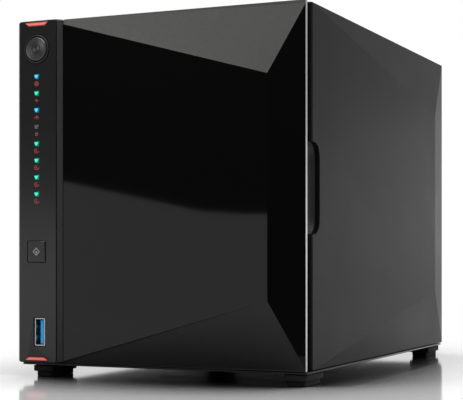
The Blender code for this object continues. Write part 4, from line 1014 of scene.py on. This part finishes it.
# %% The cover's skins, face by face
EDGE_FACES = [(0, 1, 5, 4), (1, 2, 6, 12, 13, 5), (2, 3, 7, 6), (3, 0, 4, 11, 10, 7)]
FRONT_FACES = [(10, 11, 9, 8), (8, 9, 13, 12), (7, 10, 8), (7, 8, 12), (7, 12, 6),
               (4, 9, 11), (4, 13, 9), (4, 5, 13)]
GLOSS, UPPER, LOWER, EDGE, BACK = range(5)
COVER_WALL = 0.0022
outer, inner = cover_points(0.0, 0.0), cover_points(COVER_WALL, COVER_WALL)
cover_faces = EDGE_FACES + FRONT_FACES
cover_zones = [EDGE, EDGE, EDGE, EDGE, GLOSS, GLOSS, UPPER, UPPER, UPPER, LOWER, LOWER, LOWER]
skin = len(outer)
cover_zones += [BACK] * len(cover_faces)
cover_faces = cover_faces + [tuple(index + skin for index in face) for face in cover_faces]
for i in range(4):
    j = (i + 1) % 4
    cover_faces.append((i, j, j + skin, i + skin))
    cover_zones.append(BACK)
cover = make_piece("faceted_cover", np.array(outer + inner), cover_faces, "cover",
                   [gloss_black, upper_satin_painted_light, lower_satin_painted_shade, bright_edge, inner_plastic], "gloss_black",
                   smooth_angle=1.0, zones=cover_zones)
round_edges(cover, 0.00028, 2, 3.0)
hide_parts("front_cover")
soften("cover_liner", 0.0003, inner_plastic, segments=1)
for number in ONE_TO_FOUR:
    soften(f"cover_magnet_{number}", 0.0002, plated)

# %% [markdown]
# ## Shell, base and feet
#
# The shell is one folded skin. Its side walls have the same cut-gem folds as the cover. The base
# plate shows as a thin line of bare metal below it, whose near-black colour is painted shade for the
# gap under the body, and the feet are stepped rubber blocks.

# %% Shell, base plate and feet
soften("outer_shell", 0.0003, shell_plastic, angle=40.0, crease=0.8)
soften("base_plate", 0.00025, base_metal_and_painted_shade)
for corner in ("left_front", "right_front", "left_rear", "right_rear"):
    soften("foot_" + corner, 0.0004, rubber)
soften("front_frame", 0.0003, inner_plastic, segments=1)

# %% [markdown]
# ## The back
#
# The rear panel is painted steel sheet. Thumb screws hold it, knurled so that fingers can turn them,
# with a cross slot for a screwdriver. The sockets stand a little proud of their cut-outs.

# %% Rear panel and thumb screws
soften("rear_panel", 0.00012, panel_steel, segments=1)


def thumb_screw(number):
    """A knurled head, domed and chamfered, on its shank, with two dark bars on its top as painted shade where
    a sunk cross slot would be.
    """
    low, high = box(f"rear_screw_{number}")
    middle = (low + high) / 2
    radius = (high[0] - low[0]) / 2
    seat = high[1] - 0.0018
    knurl = [(low[1], 0.0014), (seat, 0.0015), (seat, radius - 0.0003), (seat + 0.0003, radius),
             (high[1] - 0.0004, radius), (high[1] - 0.0001, radius - 0.0004), (high[1], radius * 0.55)]
    points, faces = turned(knurl, middle, count=96, wobble=-0.00012, teeth=24)
    piece = make_piece(f"rear_screw_{number}_turned", points, faces, "chassis", plated, "steel")
    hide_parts(f"rear_screw_{number}")
    # The cross is not cut: two dark bars on the head are painted shade for the slot's recess.
    half, wide = radius * 0.50, 0.00035
    bars = []
    for dx, dz in ((half, wide), (wide, half)):
        outline = squircle((middle[0], middle[2]), (dx, dz), 0.0002, 2)
        bars.append(loft([(high[1] - 0.0002, outline), (high[1] + 0.00003, outline)]))
    make_piece(f"rear_screw_{number}_cross", *gather(bars), "chassis", dark_ink_and_slot_shade, "steel")


for number in ONE_TO_FOUR:
    thumb_screw(number)

# %% Rear sockets
for node in ("lan_socket_1", "lan_socket_2", "rear_usb_stack"):
    soften(node, 0.0002, plated, segments=1)
soften("power_inlet", 0.0002, socket_plastic, segments=1)
for number in (1, 2):
    low, high = box(f"lan_socket_{number}")
    shapes = []
    for share in np.linspace(-1, 1, 8):
        z = (low[2] + high[2]) / 2 + share * 0.0036
        x = high[0] - 0.0018
        outline = [(x, high[1] - 0.0105), (x - 0.0022, high[1] - 0.0105), (x - 0.0004, high[1] - 0.0030),
                   (x, high[1] - 0.0030)]
        shapes.append(slab(outline, z, 0.00018))
    make_piece(f"lan_contacts_{number}", *gather(shapes), "chassis", gold, "steel")

# %% [markdown]
# ## Fan
#
# A moulded frame with a seven-blade rotor. The blades are smooth shaded, because they are curved
# sheets, and only their rims and the hub's edge stay crisp.

# %% Fan frame and rotor
soften("fan_frame", 0.0004, fan_plastic, segments=1)
soften("fan_rotor", 0.00015, fan_plastic, segments=1, angle=40.0)

# %% [markdown]
# ## Inside
#
# Behind the cover are four trays with a lever each, in a cage of zinc-coated sheet. The trays carry
# plain numbers. The boards and their parts sit behind and beside the cage.

# %% Trays and handles
TRAY_DIGIT = 0.008
for number in ONE_TO_FOUR:
    soften(f"drive_tray_{number}", 0.0003, inner_plastic, segments=1)
    soften(f"tray_handle_{number}", 0.0005, column_plastic)
    low, high = box(f"tray_handle_{number}")
    lettering(f"tray_number_{number}", str(number), TRAY_DIGIT,
              ((low[0] + high[0]) / 2, low[1] - INK / 2, low[2] + TRAY_DIGIT * 2),
              f"handle_{number}", pale_ink)

# %% Cage, racks and boards
soften("drive_cage", 0.0002, zinc, segments=1)
for node in ("upper_rail_rack", "lower_rail_rack"):
    soften(node, 0.0003, inner_plastic, segments=1)
for node in ("main_board", "control_board", "backplane_board", "memory_module"):
    soften(node, 0.0001, board_green, segments=1)
for node in ["memory_socket", "backplane_socket"] + [f"drive_connector_{number}" for number in ONE_TO_FOUR]:
    soften(node, 0.0002, socket_plastic, segments=1)
soften("cpu_heat_sink", 0.0002, extruded, segments=1)
soften("coin_cell", 0.0003, plated)

# %% [markdown]
# ## Floor and light
#
# The enclosure stands on a pale, slightly glossy table in a white surround, so its feet show their
# reflection and their shade; the shade is partly cast by the lamps and partly painted into the
# table's colour by an occlusion node. Far from it the table turns into plain white, and no horizon shows.


# %% Table
TABLE_WHITE = (0.84, 0.84, 0.84)
PAINTED_TABLE_SHADE = (0.015, 0.015, 0.015)
SHADE_REACH = 0.090


def shown(net):
    """1 for rays from the camera and for those that gloss or glass sends on, otherwise 0."""
    rays = net.node("ShaderNodeLightPath").outputs
    kinds = ("Camera", "Glossy", "Transmission")
    camera_ray, glossy, passed = (Field(net, rays[f"Is {kind} Ray"]) for kind in kinds)
    return camera_ray.larger(glossy).larger(passed)


def table_finish():
    """Base = painted shade where the space overhead is closed, white where it is open.

    Between 0.45 and 1.1 m from the middle it becomes plain white, except as a light on other things.
    """
    finish = Finish("table_white", TABLE_WHITE, 0.12, specular=0.5, coat=0.15, coat_roughness=0.09)
    finish.set("Coat IOR", 1.8)
    x, y, _ = finish.axes()
    away = (x * x + y * y) ** 0.5
    finish.set("Roughness", 0.07 + finish.noise(8.0) * 0.04)
    # Painted shade: an occlusion node darkens the table's colour near and under the enclosure.
    contact = finish.node("ShaderNodeAmbientOcclusion", {"samples": 16}, {"Distance": SHADE_REACH})
    open_sky = Field(finish, contact.outputs["AO"]).ramp(0.50, 0.97)
    finish.set("Base Color", finish.mix(open_sky, PAINTED_TABLE_SHADE, TABLE_WHITE))
    white = finish.node("ShaderNodeEmission", None, {"Color": (1.0, 1.0, 1.0, 1.0), "Strength": 1.0})
    finish.blend(away.ramp(0.45, 1.1) * shown(finish), finish.shader.outputs[0], white.outputs[0])
    return finish.material


def stage_piece(name, points, faces, material, rays_off=()):
    """A piece of the studio, not of the enclosure, hidden from the kinds of ray that are named."""
    mesh = bpy.data.meshes.new(name)
    mesh.from_pydata(points, [], faces)
    mesh.materials.append(material)
    piece = bpy.data.objects.new(name, mesh)
    bpy.context.scene.collection.objects.link(piece)
    for kind in rays_off:
        setattr(piece, "visible_" + kind, False)
    piece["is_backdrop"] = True
    print("studio:", name)


TABLE_HALF = 9.0
table_corners = [(x * TABLE_HALF, y * TABLE_HALF, 0) for x, y in ((-1, -1), (1, -1), (1, 1), (-1, 1))]
stage_piece("table", table_corners, [(0, 1, 2, 3)], table_finish())


# %% [markdown]
# ## Dark cards
#
# A polished black part shows nothing but what it reflects, and a white room would turn it grey. So
# a dark card curves round the front, and its lower edge is where the pale table begins to show in
# the cover. A second, level card darkens the narrow facet by the ridge. A light could not do this,
# since it only adds. Both cards are hidden from every ray but reflections.

# %% Dark cards, seen only in reflections
REFLECTIONS_ONLY = ("camera", "diffuse", "shadow", "transmission")
CARD_REACH, CARD_TOP, CARD_EDGE = 2.0, 3.2, 0.137


def card():
    """A strip round the front, at CARD_REACH from the middle.

    Its lower edge is level ahead; past 30 degrees left it climbs, and to the right it drops to the table.
    """
    turn = np.radians(np.linspace(-70, 75, 60))
    degrees = np.degrees(turn)
    climb = np.clip((degrees - 30.0) / 9.0, 0.0, 1.6) * 0.068
    drop = np.clip(-degrees / 12.0, 0.0, 1.0) * 0.135
    lower = CARD_EDGE + climb - drop
    height = np.stack([lower, np.full_like(lower, CARD_TOP)], 0)
    x = np.broadcast_to(-CARD_REACH * np.sin(turn), height.shape)
    y = np.broadcast_to(-CARD_REACH * np.cos(turn), height.shape)
    points = np.stack([x, y, height], -1).reshape(-1, 3)
    stage_piece("dark_card", points.tolist(), grid_faces(2, len(turn), wrap=False),
                ink("card_black", (0.006, 0.006, 0.006)), REFLECTIONS_ONLY)


card()


def low_card():
    """A level sheet to the right, ahead of the cover; the table below it does not reflect it.

    Its underside is clear: the mix takes the clear shader where a ray meets the back of the face.
    """
    corners = [(0.09, -0.215, 0.004), (0.50, -0.215, 0.004), (3.60, -3.40, 0.004), (0.95, -4.20, 0.004)]
    finish = Finish("low_card_black", (0.006, 0.006, 0.006), 0.6)
    side = finish.node("ShaderNodeNewGeometry").outputs["Backfacing"]
    clear = finish.node("ShaderNodeBsdfTransparent").outputs[0]
    finish.blend(side, finish.shader.outputs[0], clear)
    stage_piece("low_card", corners, [(3, 2, 1, 0)], finish.material, REFLECTIONS_ONLY)


low_card()

# %% [markdown]
# ## Lamps and surround
#
# Large lamps close to a thing give soft shadows and broad highlights, small ones give hard points.
# The big one above lights the top and the satin facets, two to the sides shape the column and the
# right wall, and two small low ones behind draw the thin line along the wall's rear fold.

# %% Soft boxes
def soft_box(name, place, aim, size, watts):
    """An area lamp at a place, facing a point."""
    light = bpy.data.lights.new(name, "AREA")
    light.shape = "RECTANGLE"
    light.size, light.size_y = size
    light.energy = watts
    lamp = bpy.data.objects.new(name, light)
    lamp.location = place
    away = np.array(place) - np.array(aim)
    flat = math.hypot(away[0], away[1])
    lamp.rotation_euler = (math.atan2(flat, away[2]), 0.0, math.atan2(away[0], -away[1]))
    bpy.context.scene.collection.objects.link(lamp)


SOFT_BOXES = {
    "above": ((0.0, -0.25, 1.5), (0.0, 0.0, 0.0), (1.6, 1.6), 27.0),
    "front_left": ((-1.3, -1.5, 0.9), (0.0, 0.0, 0.1), (0.9, 0.9), 5.5),
    "right": ((1.7, 0.4, 0.8), (0.0, 0.0, 0.1), (0.8, 1.0), 5.0),
    "behind_right": ((0.45, 2.0, 0.10), (0.06, 0.1, 0.1), (0.25, 0.5), 1.0),
    "side_glow": ((0.95, 1.9, 0.06), (0.07, 0.0, 0.1), (0.35, 0.20), 0.45)}
for name, settings in SOFT_BOXES.items():
    soft_box(name, *settings)
print("soft boxes:", ", ".join(SOFT_BOXES))

# %% Surround, plain white to the camera and to reflections, dimmer as a light
WORLD_LIGHT = 0.32
world = bpy.data.worlds.new("surround")
bpy.context.scene.world = world
world.use_nodes = True
surround = Net(world.node_tree)
background = surround.tree.nodes["Background"].inputs
surround.feed(background["Strength"], WORLD_LIGHT + shown(surround) * (1 - WORLD_LIGHT))
surround.feed(background["Color"], (1.0, 1.0, 1.0, 1.0))
print("surround lights at", WORLD_LIGHT, "and shows at 1")

# %% [markdown]
# ## Last measures
#
# The finished pieces have to stay inside the frame's own box, or they would no longer fit what was
# designed around them. Both boxes are measured, and their difference is printed.

# %% Sizes and finish
visual_bounds = [list(corner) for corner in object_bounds()]
past_frame = np.array(visual_bounds) - np.array(cad_bounds)
print("visual minus frame, mm:", np.round(past_frame * 1000, 2).tolist())
